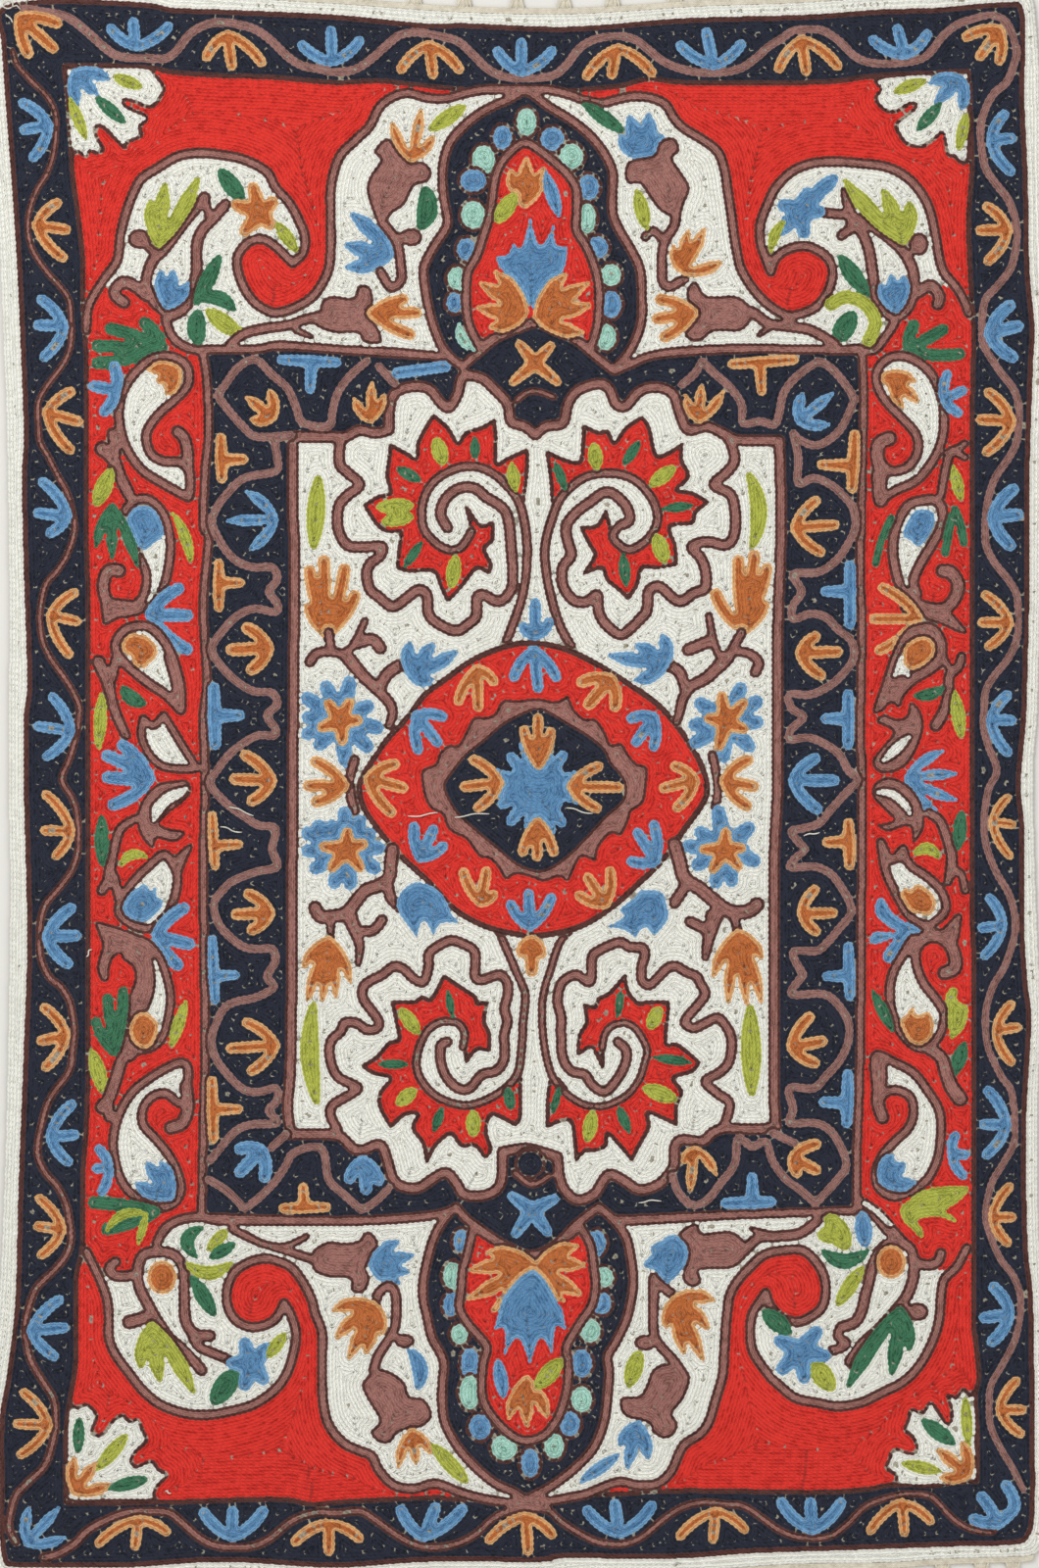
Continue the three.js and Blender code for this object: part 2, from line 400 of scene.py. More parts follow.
# The border's vine, in three lengths, and the sprigs in its waves.
BORDER: tuple[Motif, ...] = (
    Band(MV, 5.2, ((-286,451),(-273,449),(-260,446),(-248,437),(-238,428),(-229,423),(-212,422),(-203,422),
        (-197,426),(-189,436),(-181,441),(-173,443),(-162,442),(-151,439),(-141,432),(-133,424),(-124,418),
        (-114,416),(-103,414),(-92,416),(-83,422),(-74,430),(-66,436),(-55,437),(-44,435),(-33,432),
        (-24,424),(-17,417),(-8,412),(5,410),(22,412),(30,418),(36,426),(42,431),(50,434),(61,435),
        (70,433),(78,427),(87,420),(97,416),(107,414),(120,414),(131,416),(140,422),(148,429),(156,434),
        (162,438),(172,439),(180,438),(189,432),(197,424),(205,420),(216,419),(229,420),(237,422),
        (243,427),(249,435),(258,442),(267,445),(277,447),(285,444),(289,437),(292,426),(290,417),
        (286,408),(279,402),(274,393),(271,382),(272,367),(274,358),(280,349),(287,340),(291,329),
        (292,317),(289,301),(281,290),(274,282),(272,271),(272,258),(277,248),(283,239),(290,230),
        (293,221),(293,210),(292,199),(287,189),(280,179),(276,168),(274,155),(274,140),(279,129),
        (287,119),(292,110),(293,98),(292,84),(287,73),(279,63),(274,54),(273,42),(273,32),(276,21),
        (280,11),(280,5),(276,-2),(274,-12),(273,-23),(274,-34),(277,-44),(281,-53),(286,-61),(289,-68),
        (291,-77),(291,-87),(288,-98),(284,-108),(279,-116),(276,-124),(274,-133),(274,-143),(276,-155),
        (283,-170),(289,-179),(291,-200),(290,-210),(284,-221),(278,-231),(275,-242),(274,-253),(278,-266),
        (283,-277),(290,-286),(294,-297),(294,-308),(292,-320),(289,-328),(283,-339),(277,-350),(276,-362),
        (277,-374),(283,-387),(289,-397),(294,-407),(296,-411)), 4),
    Band(BR, 4, ((-292,427),(-289,418),(-280,408),(-272,400),(-267,390),(-267,378),(-268,367),(-272,355),
        (-278,345),(-282,334),(-283,322),(-280,310),(-272,298),(-264,289),(-259,281),(-258,270),(-258,257),
        (-261,247),(-267,238),(-273,230),(-277,221),(-277,210),(-276,199),(-271,190),(-266,180),(-260,169),
        (-257,158),(-256,147),(-260,134),(-266,124),(-272,117),(-275,107),(-276,95),(-274,82),(-269,72),
        (-262,62),(-256,52),(-253,44),(-254,34),(-256,24),(-259,14),(-263,5),(-262,-1),(-258,-7),
        (-255,-15),(-254,-24),(-254,-39),(-257,-49),(-262,-57),(-267,-63),(-272,-69),(-275,-76),(-276,-84),
        (-276,-98),(-274,-106),(-270,-113),(-264,-118),(-259,-126),(-257,-135),(-256,-144),(-257,-155),
        (-259,-167),(-267,-178),(-272,-187),(-275,-198),(-277,-208),(-277,-217),(-273,-226),(-266,-234),
        (-261,-244),(-259,-254),(-258,-266),(-262,-276),(-269,-284),(-278,-293),(-282,-303),(-284,-311),
        (-284,-324),(-281,-336),(-274,-348),(-268,-358),(-267,-369),(-268,-380),(-273,-396),(-283,-406),
        (-290,-414),(-293,-424),(-294,-433),(-290,-441)), 5.4),
    Band(BR, 6, ((-274,-450),(-266,-448),(-256,-442),(-248,-434),(-237,-428),(-226,-424),(-212,-423),
        (-201,-424),(-193,-430),(-184,-438),(-174,-443),(-162,-444),(-151,-443),(-141,-438),(-130,-429),
        (-117,-424),(-102,-424),(-90,-423),(-81,-428),(-70,-436),(-59,-442),(-47,-444),(-34,-442),
        (-22,-436),(-12,-427),(-2,-423),(18,-422),(27,-429),(38,-436),(49,-441),(63,-442),(74,-438),
        (85,-429),(97,-421),(109,-418),(123,-419),(133,-420),(144,-427),(154,-434),(165,-438),(182,-438),
        (193,-431),(203,-421),(214,-416),(228,-413),(241,-414),(248,-420),(257,-429),(267,-434),
        (278,-435)), 4.5),
    Sprig(RU, 7.5, (-288,446),((-263,442),(-266,426),(-282,422))),
    Sprig(BL, 7, (-220,429),((-237,441),(-222,446),(-199,442))),
    Sprig(RU, 7, (-167,436),((-181,421),(-164,415),(-145,418))),
    Sprig(BL, 7, (-106,420),((-126,431),(-107,441),(-88,434))),
    Sprig(RU, 7, (-50,430),((-68,414),(-47,410),(-30,414))),
    Sprig(BL, 7, (4,414),((-12,428),(4,434),(24,428))),
    Sprig(RU, 7, (60,428),((40,410),(56,410),(82,412))),
    Sprig(BL, 7, (116,418),((94,431),(111,440),(134,432))),
    Sprig(RU, 7, (167,433),((152,414),(170,412),(190,416))),
    Sprig(BL, 7, (227,424),((206,434),(222,442),(242,438))),
    Sprig(RU, 7, (282,439),((260,434),(269,421),(282,418))),
    Sprig(BL, 7, (-271,383),((-288,398),(-288,380),(-281,362))),
    Sprig(RU, 7, (-278,325),((-264,340),(-258,322),(-261,304))),
    Sprig(BL, 7, (-262,266),((-277,284),(-280,267),(-275,246))),
    Sprig(RU, 7, (-272,216),((-256,230),(-251,210),(-257,192))),
    Sprig(BL, 7, (-260,156),((-276,178),(-280,158),(-272,144))),
    Sprig(RU, 6.5, (-270,98),((-254,113),(-252,94),(-258,73))),
    Sprig(BL, 6.5, (-258,31),((-270,53),(-280,34),(-274,14))),
    Sprig(RU, 6.5, (-258,-27),((-274,-4),(-276,-27),(-268,-44))),
    Sprig(BL, 7.5, (-272,-89),((-256,-70),(-252,-88),(-258,-107))),
    Sprig(RU, 7, (-261,-146),((-275,-128),(-278,-150),(-274,-167))),
    Sprig(BL, 7, (-270,-205),((-256,-184),(-253,-204),(-258,-222))),
    Sprig(RU, 6.5, (-263,-259),((-278,-239),(-280,-257),(-277,-276))),
    Sprig(BL, 7, (-281,-318),((-263,-298),(-259,-316),(-266,-335))),
    Sprig(RU, 6.5, (-271,-373),((-287,-352),(-292,-372),(-289,-392))),
    Sprig(BL, 8.5, (-284,-442),((-282,-419),(-264,-420),(-260,-438))),
    Sprig(RU, 6.5, (-219,-428),((-244,-443),(-221,-446),(-200,-436))),
    Sprig(BL, 7.5, (-164,-438),((-183,-422),(-164,-420),(-144,-421))),
    Sprig(RU, 7, (-108,-430),((-130,-442),(-108,-449),(-88,-440))),
    Sprig(BL, 7.5, (-53,-438),((-68,-420),(-45,-418),(-28,-420))),
    Sprig(RU, 7, (6,-426),((-17,-441),(8,-449),(24,-438))),
    Sprig(BL, 7.5, (61,-436),((40,-421),(58,-416),(82,-418))),
    Sprig(RU, 6.5, (117,-423),((94,-439),(115,-442),(136,-435))),
    Sprig(BL, 7.5, (173,-434),((153,-416),(172,-415),(192,-416))),
    Sprig(RU, 6.5, (225,-418),((205,-436),(227,-438),(244,-430))),
    Sprig(BL, 7.5, (281,-430),((264,-427),(270,-412))),
    Band(BL, 7, ((286,-408),(290,-415),(290,-422),(281,-430)), 8),
    Sprig(BL, 7, (277,374),((286,392),(292,376),(290,354))),
    Sprig(RU, 7, (287,322),((273,338),(268,322),(274,302))),
    Sprig(BL, 8, (276,262),((290,281),(296,267),(292,246))),
    Sprig(RU, 7, (289,211),((274,230),(268,212),(273,191))),
    Sprig(BL, 8, (278,155),((292,174),(296,157),(290,136))),
    Sprig(RU, 6.5, (288,94),((272,112),(269,94),(274,78))),
    Sprig(BL, 7, (277,37),((288,54),(292,37),(288,16))),
    Sprig(RU, 5.8, (278,-22),((288,-6),(292,-24),(289,-44))),
    Sprig(BL, 6.5, (284,-82),((275,-64),(269,-84),(272,-102))),
    Sprig(RU, 6.5, (280,-144),((290,-126),(295,-141),(290,-164))),
    Sprig(BL, 7, (286,-198),((274,-176),(270,-198),(273,-218))),
    Sprig(RU, 6.5, (278,-252),((289,-232),(292,-252),(288,-269))),
    Sprig(BL, 7.5, (288,-308),((277,-290),(270,-311),(276,-327))),
    Sprig(RU, 6.5, (282,-364),((293,-345),(298,-364),(296,-380))),
)

# A corner palmette in each corner of the red ground.
CORNERS: tuple[Motif, ...] = (
    Patch(C, ((-261,417),(-261,417),(-216,417),(-209,412),(-204,404),(-211,394),(-221,397),(-227,398),
        (-226,394),(-214,388),(-218,382),(-217,377),(-226,373),(-227,370),(-239,382),(-244,382),(-243,376),
        (-239,369),(-243,367),(-247,368),(-249,365),(-254,368),(-258,369),(-260,395)), DK, 2.2),
    Sprig(BL, 10, (-256,414),((-254,394),(-242,400),(-234,410))),
    Leaf(OL, 7.5, (-234,412),(-216,405)),
    Leaf(GR, 7.5, (-244,400),(-226,384)),
    Leaf(OL, 7, (-259,399),(-249,375)),
    Patch(C, ((264,414),(264,414),(256,414),(213,411),(213,404),(210,399),(214,393),(221,391),(231,396),
        (233,393),(223,385),(222,382),(225,376),(229,372),(237,371),(245,376),(249,379),(251,371),
        (252,366),(256,365),(259,362),(264,366)), DK, 2.2),
    Sprig(BL, 10, (260,410),((240,408),(244,396),(260,391))),
    Leaf(OL, 7.5, (240,410),(220,402)),
    Leaf(GR, 7.5, (248,396),(234,380)),
    Leaf(OL, 7, (263,391),(258,368)),
    Patch(C, ((-260,-366),(-254,-363),(-250,-361),(-246,-363),(-243,-368),(-246,-377),(-243,-379),
        (-239,-378),(-234,-371),(-228,-367),(-224,-371),(-219,-370),(-216,-377),(-214,-382),(-221,-389),
        (-223,-394),(-220,-397),(-211,-394),(-207,-399),(-202,-402),(-209,-410),(-209,-417),(-209,-417),
        (-260,-417),(-260,-417)), DK, 2.2),
    Leaf(GR, 7, (-253,-368),(-254,-390)),
    Leaf(OL, 8.5, (-243,-399),(-225,-378)),
    Leaf(GR, 8, (-236,-410),(-213,-404)),
    Sprig(RU, 9.5, (-256,-412),((-256,-390),(-243,-394),(-234,-407))),
    Patch(C, ((221,-408),(221,-408),(222,-402),(216,-398),(218,-393),(219,-389),(222,-387),(228,-389),
        (233,-389),(234,-385),(231,-379),(227,-376),(229,-370),(231,-364),(237,-366),(242,-360),(247,-366),
        (251,-372),(254,-370),(254,-363),(252,-356),(257,-357),(261,-352),(265,-356),(268,-357),(269,-406),
        (269,-406),(256,-406),(245,-408)), DK, 2.2),
    Leaf(OL, 7, (262,-356),(264,-386)),
    Leaf(GR, 9.5, (237,-370),(256,-384)),
    Leaf(OL, 7.5, (225,-395),(248,-400)),
    Sprig(RU, 10, (264,-402),((245,-386),(260,-381),(246,-403))),
)

# The cream ground above the lattice: its edge from the left tail to the right one, and its foot.
UPPER_EDGE: Path = (
    (-249,264),(-248,277),(-243,287),(-237,296),(-231,305),(-229,320),(-226,332),(-222,343),(-217,352),
    (-208,358),(-196,365),(-184,367),(-171,366),(-157,363),(-144,356),(-139,347),(-131,338),(-126,329),
    (-122,319),(-123,309),(-129,303),(-129,303),(-137,311),(-144,316),(-150,317),(-156,314),(-161,307),
    (-161,299),(-157,288),(-151,280),(-145,276),(-139,274),(-128,277),(-117,284),(-109,297),(-107,310),
    (-107,332),(-107,345),(-105,356),(-101,366),(-92,375),(-84,383),(-79,393),(-72,399),(-62,402),
    (-50,399),(-39,399),(-28,402),(-16,404),(0,404),(18,404),(32,401),(40,398),(50,396),(59,398),
    (69,400),(80,399),(88,395),(93,387),(99,381),(109,375),(118,368),(122,358),(124,345),(126,332),
    (128,317),(130,306),(132,299),(138,289),(146,280),(157,273),(165,273),(176,278),(183,288),
    (185,299),(182,306),(177,310),(169,313),(159,311),(152,306),(149,298),(149,298),(146,306),
    (143,315),(143,326),(147,337),(152,347),(161,356),(173,361),(187,362),(201,361),(216,359),
    (228,353),(237,343),(242,332),(245,318),(247,306),(250,297),(256,290),(261,282),(264,274),
)
UPPER_FOOT: Path = (
    (264,274),(256,287),(249,290),(249,290),(243,289),(235,286),(228,276),(221,270),(217,262),(211,254),
    (203,252),(203,252),(172,251),(136,253),(105,252),(85,250),(76,247),(60,240),(60,240),(-30,243),
    (-30,243),(-50,249),(-72,251),(-94,252),(-117,253),(-136,254),(-157,252),(-179,252),(-191,254),
    (-199,260),(-203,270),(-210,280),(-214,286),(-220,289),(-228,292),(-236,290),(-242,284),(-249,264),
)
# The cream ground below it, from the left tail to the right one.
LOWER_EDGE: Path = (
    (-249,-272),(-244,-282),(-240,-291),(-237,-300),(-236,-310),(-236,-322),(-232,-332),(-224,-343),
    (-216,-353),(-206,-361),(-192,-366),(-179,-367),(-166,-365),(-152,-361),(-140,-353),(-133,-344),
    (-129,-333),(-127,-320),(-130,-309),(-134,-302),(-134,-302),(-140,-312),(-152,-316),(-162,-312),
    (-167,-303),(-167,-293),(-163,-284),(-154,-278),(-145,-276),(-139,-277),(-130,-281),(-123,-290),
    (-118,-300),(-116,-308),(-112,-319),(-112,-333),(-112,-348),(-111,-362),(-108,-373),(-100,-383),
    (-90,-388),(-83,-391),(-79,-399),(-70,-408),(-58,-410),(-46,-407),(-32,-412),(-17,-416),(0,-418),
    (20,-417),(32,-415),(42,-413),(49,-410),(61,-406),(72,-408),(83,-407),(91,-400),(95,-391),
    (99,-384),(108,-378),(113,-371),(117,-358),(121,-344),(122,-330),(123,-314),(124,-305),(125,-298),
    (129,-290),(136,-282),(145,-274),(158,-271),(169,-272),(178,-282),(181,-293),(179,-304),(172,-310),
    (164,-313),(155,-310),(149,-304),(146,-296),(146,-296),(142,-302),(138,-309),(137,-320),(139,-331),
    (148,-344),(152,-348),(163,-357),(176,-360),(188,-362),(201,-360),(214,-354),(227,-347),(237,-336),
    (244,-322),(247,-311),(248,-298),(250,-288),(257,-281),(263,-270),
)
LOWER_FOOT: Path = (
    (263,-270),(256,-278),(250,-283),(244,-281),(235,-279),(232,-277),(226,-268),(221,-264),(217,-257),
    (210,-250),(198,-248),(198,-248),(176,-248),(150,-249),(116,-251),(83,-253),(61,-254),(49,-247),
    (49,-247),(-34,-246),(-34,-246),(-50,-251),(-72,-253),(-100,-254),(-145,-254),(-170,-254),
    (-182,-252),(-193,-253),(-203,-258),(-208,-267),(-213,-273),(-219,-282),(-224,-284),(-233,-285),
    (-240,-281),(-245,-276),(-249,-272),
)
CREAM_GROUND: tuple[Motif, ...] = (
    Patch(C, UPPER_EDGE + UPPER_FOOT),
    Patch(C, LOWER_EDGE + LOWER_FOOT),
    Band(BR, 6.3, UPPER_EDGE),
    Band(BR, 6.3, LOWER_EDGE),
    Band(BR, 6.5, ((-203,270),(-199,260),(-191,254),(-179,252),(-168,251),(-157,252),(-145,253),(-136,255),
        (-117,253),(-94,252),(-72,251),(-50,249),(-40,248),(-33,244))),
    Band(BR, 6.5, ((59,240),(67,244),(76,247),(85,250),(105,252),(136,253),(150,252),(172,251),(200,253),
        (206,252),(211,254),(217,262),(221,268))),
    Band(BR, 6.5, ((-208,-267),(-203,-258),(-193,-253),(-182,-252),(-170,-254),(-145,-254),(-100,-254),
        (-72,-253),(-50,-251),(-36,-248))),
    Band(BR, 6.5, ((49,-248),(55,-252),(61,-254),(83,-253),(116,-251),(150,-249),(176,-248),(198,-248))),
    Band(BR, 9, ((199,-243),(210,-250),(217,-258),(224,-266))),
    Band(C, 2.8, ((204,-244),(211,-249),(218,-256))),
)

# The scrolls in the four corners of the cream, with their leaves and flowers.
SCROLLS: tuple[Motif, ...] = (
    Band(BR, 7.3, ((-180,341),(-192,327),(-203,312),(-210,305),(-213,298),(-214,290),(-210,281),(-203,275),
        (-198,273),(-191,278),(-188,287),(-185,297),(-185,310),(-184,317),(-181,323),(-177,327),
        (-168,337))),
    Band(BR, 6, ((-181,342),(-177,329))),
    Band(BR, 5.5, ((-215,314),(-208,308))),
    Dot(BR, (-218,317), 14, 12),
    Band(BR, 8, ((-227,280),(-232,284),(-232,288),(-227,292),(-220,289),(-214,284))),
    Sprig(OL, 11.5, (-207,314),((-212,341),(-203,351),(-183,354))),
    Leaf(GR, 10.5, (-172,358),(-157,338)),
    Star(RU, 9, (-148,332),((-153,350),(-165,338),(-159,319),(-138,341),(-140,323)), 6),
    Leaf(OL, 8, (-139,327),(-126,309)),
    Sprig(BL, 11, (-202,278),((-206,300),(-198,300),(-189,292))),
    Leaf(GR, 9.5, (-186,278),(-171,308)),
    Leaf(GR, 9.5, (-184,283),(-162,276), 3),
    Leaf(OL, 10.5, (-180,276),(-158,260)),
    Leaf(GR, 11.5, (-184,276),(-184,255), -1, 0.6),
    Band(BR, 7.3, ((193,345),(194,337),(196,331),(201,328),(212,322),(223,313),(229,305),(232,297),
        (232,286),(228,276),(221,272),(214,276),(210,285),(208,299),(206,311),(202,321),(196,327))),
    Band(BR, 6.5, ((195,331),(182,332))),
    Band(BR, 6.5, ((198,325),(190,319))),
    Band(BR, 5, ((233,311),(228,307))),
    Dot(BR, (235,314), 12, 14),
    Band(BR, 7.8, ((235,286),(242,290),(247,284),(246,279))),
    Star(BL, 9.5, (166,333),((184,352),(153,338),(153,320),(169,317),(181,333),(172,347)), 7),
    Leaf(BL, 9, (174,342),(188,354)),
    Leaf(OL, 6.5, (157,328),(149,309), -2),
    Sprig(OL, 12.5, (226,316),((191,352),(214,347),(230,340))),
    Leaf(GR, 10.5, (188,308),(206,284)),
    Sprig(BL, 11.5, (222,276),((212,292),(219,297),(227,297))),
    Band(OL, 7.8, ((184,279),(191,283),(199,282),(206,277),(210,268),(206,258))),
    Leaf(GR, 12.5, (198,275),(186,256)),
    Band(BR, 7.3, ((-182,-341),(-188,-334),(-193,-329),(-201,-322),(-208,-312),(-213,-303),(-218,-293),
        (-219,-282),(-216,-274),(-207,-272),(-198,-274),(-193,-281),(-192,-291),(-192,-303),(-191,-313),
        (-186,-320),(-177,-321))),
    Band(BR, 6.5, ((-187,-322),(-184,-327),(-178,-330),(-168,-334))),
    Band(BR, 8.5, ((-224,-313),(-213,-310))),
    Dot(BR, (-224,-313), 9, 9),
    Band(BR, 7, ((-232,-278),(-236,-282),(-232,-286),(-224,-286),(-219,-284))),
    Dot(RU, (-205,-287), 17.5, 19.5),
    Sprig(OL, 12, (-211,-315),((-218,-341),(-206,-349),(-186,-355))),
    Leaf(GR, 13, (-161,-340),(-176,-361)),
    Star(BL, 9.5, (-153,-337),((-158,-322),(-168,-337),(-158,-353),(-144,-349),(-142,-326)), 7),
    Leaf(OL, 7.5, (-144,-334),(-133,-319)),
    Leaf(GR, 8.5, (-182,-257),(-186,-276), -6.5),
    Leaf(OL, 7.5, (-166,-258),(-179,-272)),
    Leaf(GR, 7.5, (-162,-267),(-178,-276)),
    Leaf(OL, 8.5, (-192,-279),(-164,-279), -5.5),
    Leaf(GR, 9.5, (-188,-286),(-174,-310)),
    Band(BR, 7.3, ((190,-316),(198,-313),(202,-306),(204,-297),(206,-290),(208,-281),(212,-272),(221,-266),
        (230,-270),(232,-279),(232,-287),(228,-298),(221,-307),(212,-317),(202,-326),(195,-336))),
    Band(BR, 6.5, ((190,-316),(188,-321),(193,-326),(184,-330))),
    Band(BR, 7, ((233,-278),(240,-280),(246,-278),(248,-273))),
    Dot(RU, (219,-278), 17.5, 19.5),
    Dot(BR, (234,-307), 14, 11),
    Sprig(GR, 11.5, (224,-306),((230,-331),(219,-345),(193,-352))),
    Leaf(OL, 12.5, (171,-334),(186,-353)),
    Star(BL, 9.5, (166,-330),((178,-316),(184,-333),(169,-349),(153,-343),(151,-322)), 7),
    Leaf(GR, 11, (144,-306),(161,-320)),
    Leaf(OL, 13.5, (182,-250),(194,-271)),
    Leaf(OL, 9.5, (189,-263),(176,-262)),
    Leaf(BL, 10.5, (202,-248),(204,-270)),
    Leaf(GR, 9.5, (178,-272),(206,-272), -5.5),
    Leaf(OL, 9, (203,-280),(187,-304)),
)

# The bell flowers on both sides of the pendants.
BELLS: tuple[Motif, ...] = (
    Band(BR, 6.8, ((-165,256),(-157,262),(-145,265),(-132,267),(-122,270),(-114,272))),
    Band(BR, 5, ((-127,264),(-118,260)), 3.5),
    Patch(BR, ((-123,272),(-114,275),(-112,281),(-106,284),(-94,283),(-91,290),(-84,289),(-82,280),
        (-83,272),(-78,263),(-78,256),(-88,257),(-91,262),(-103,262),(-111,264),(-118,268))),
    Sprig(RU, 7.5, (-83,274),((-62,283),(-54,274),(-58,260))),
    Sprig(BL, 12, (-72,308),((-96,333),(-83,326),(-100,314),(-99,300))),
    Band(BR, 6.5, ((-79,333),(-77,327),(-73,322),(-68,314),(-66,300),(-66,293),(-72,289),(-78,298))),
    Band(BR, 6.5, ((-69,317),(-62,319))),
    Dot(BR, (-60,318), 13, 11),
    Patch(BR, ((-74,376),(-82,368),(-78,363),(-84,354),(-86,346),(-84,337),(-80,328),(-74,328),(-71,332),
        (-64,337),(-58,348),(-51,350),(-48,356),(-53,362),(-60,363),(-68,370))),
    Sprig(RU, 8.5, (-60,363),((-72,386),(-54,394),(-46,378))),
    Leaf(OL, 9, (-50,380),(-28,395)),
    Leaf(GR, 12.5, (-52,348),(-55,322), 3),
    Leaf(GR, 8.8, (40,396),(64,379)),
    Sprig(BL, 13, (76,365),((60,378),(66,390),(78,391),(86,379))),
    Patch(BR, ((94,375),(96,368),(92,364),(97,356),(102,347),(99,338),(96,330),(91,330),(84,334),(78,342),
        (73,349),(66,349),(64,355),(66,362),(72,364),(81,366),(84,373),(89,376))),
    Band(BR, 6.5, ((94,334),(93,325),(88,317),(86,309),(86,298),(86,293),(89,289),(94,291),(99,294))),
    Band(BR, 6, ((86,317),(80,322),(76,318))),
    Leaf(OL, 8.8, (71,346),(77,322)),
    Sprig(RU, 9.5, (98,298),((92,314),(101,323),(111,324),(122,304))),
    Band(BR, 7, ((133,276),(139,274),(148,268),(161,266),(172,264),(183,258),(186,256))),
    Band(BR, 5, ((150,267),(142,261)), 3.5),
    Patch(BR, ((106,292),(112,284),(128,284),(136,279),(138,271),(134,265),(129,263),(116,263),(109,258),
        (102,258),(98,264),(104,273),(100,282),(101,290))),
    Sprig(RU, 7.5, (104,274),((82,283),(80,270),(85,258))),
    Band(BR, 6, ((-164,-259),(-154,-264),(-145,-268),(-134,-269),(-124,-265),(-121,-263)), 4.5),
    Band(BR, 6, ((-141,-269),(-128,-273),(-116,-277))),
    Patch(BR, ((-118,-274),(-116,-270),(-108,-266),(-98,-267),(-90,-265),(-88,-261),(-83,-261),(-79,-268),
        (-83,-276),(-86,-281),(-84,-288),(-88,-296),(-95,-295),(-96,-288),(-108,-287),(-117,-283))),
    Sprig(BL, 10.5, (-83,-280),((-67,-265),(-58,-274),(-60,-284),(-66,-291))),
    Band(BR, 6.5, ((-81,-302),(-79,-296),(-73,-292),(-69,-298),(-69,-311),(-71,-319),(-79,-332),
        (-82,-341))),
    Band(BR, 6, ((-71,-321),(-63,-324))),
    Dot(BR, (-64,-324), 12, 8.5),
    Sprig(RU, 11, (-82,-303),((-107,-306),(-105,-323),(-97,-335),(-87,-333),(-77,-322))),
    Leaf(BL, 9.5, (-61,-328),(-56,-353), 3.5),
    Patch(BR, ((-80,-340),(-85,-344),(-89,-350),(-85,-359),(-79,-369),(-80,-373),(-84,-377),(-79,-383),
        (-72,-383),(-67,-377),(-54,-374),(-48,-368),(-50,-361),(-54,-357),(-61,-356),(-64,-348),
        (-72,-342))),
    Sprig(RU, 8.5, (-60,-376),((-68,-398),(-57,-397),(-48,-390))),
    Leaf(OL, 9.5, (-48,-384),(-27,-407)),
    Patch(BR, ((136,-272),(133,-265),(125,-260),(109,-261),(107,-256),(102,-256),(95,-262),(96,-269),
        (100,-273),(98,-281),(98,-289),(104,-293),(109,-289),(108,-283),(125,-282),(132,-278))),
    Band(BR, 7, ((134,-271),(142,-264),(154,-263),(164,-262),(170,-259),(176,-254))),
    Band(BR, 5, ((148,-262),(138,-259)), 3.5),
    Sprig(BL, 14, (98,-274),((74,-280),(78,-270),(86,-264),(80,-290))),
    Band(BR, 6.5, ((81,-287),(81,-300),(81,-319),(84,-326),(93,-336),(99,-345))),
    Band(BR, 6.5, ((82,-289),(92,-297),(98,-299))),
    Dot(BR, (76,-325), 13, 9.5),
    Leaf(OL, 10.5, (73,-329),(66,-351)),
    Sprig(RU, 11, (94,-299),((117,-300),(114,-318),(110,-336),(99,-333),(88,-318))),
    Patch(BR, ((101,-344),(102,-348),(98,-358),(92,-366),(95,-372),(93,-378),(87,-381),(80,-377),(78,-372),
        (67,-369),(62,-365),(62,-357),(72,-356),(76,-351),(80,-341),(87,-337),(95,-339))),
    Sprig(BL, 10, (72,-372),((60,-386),(65,-399),(78,-394))),
    Leaf(BL, 7.5, (38,-406),(61,-390)),
)

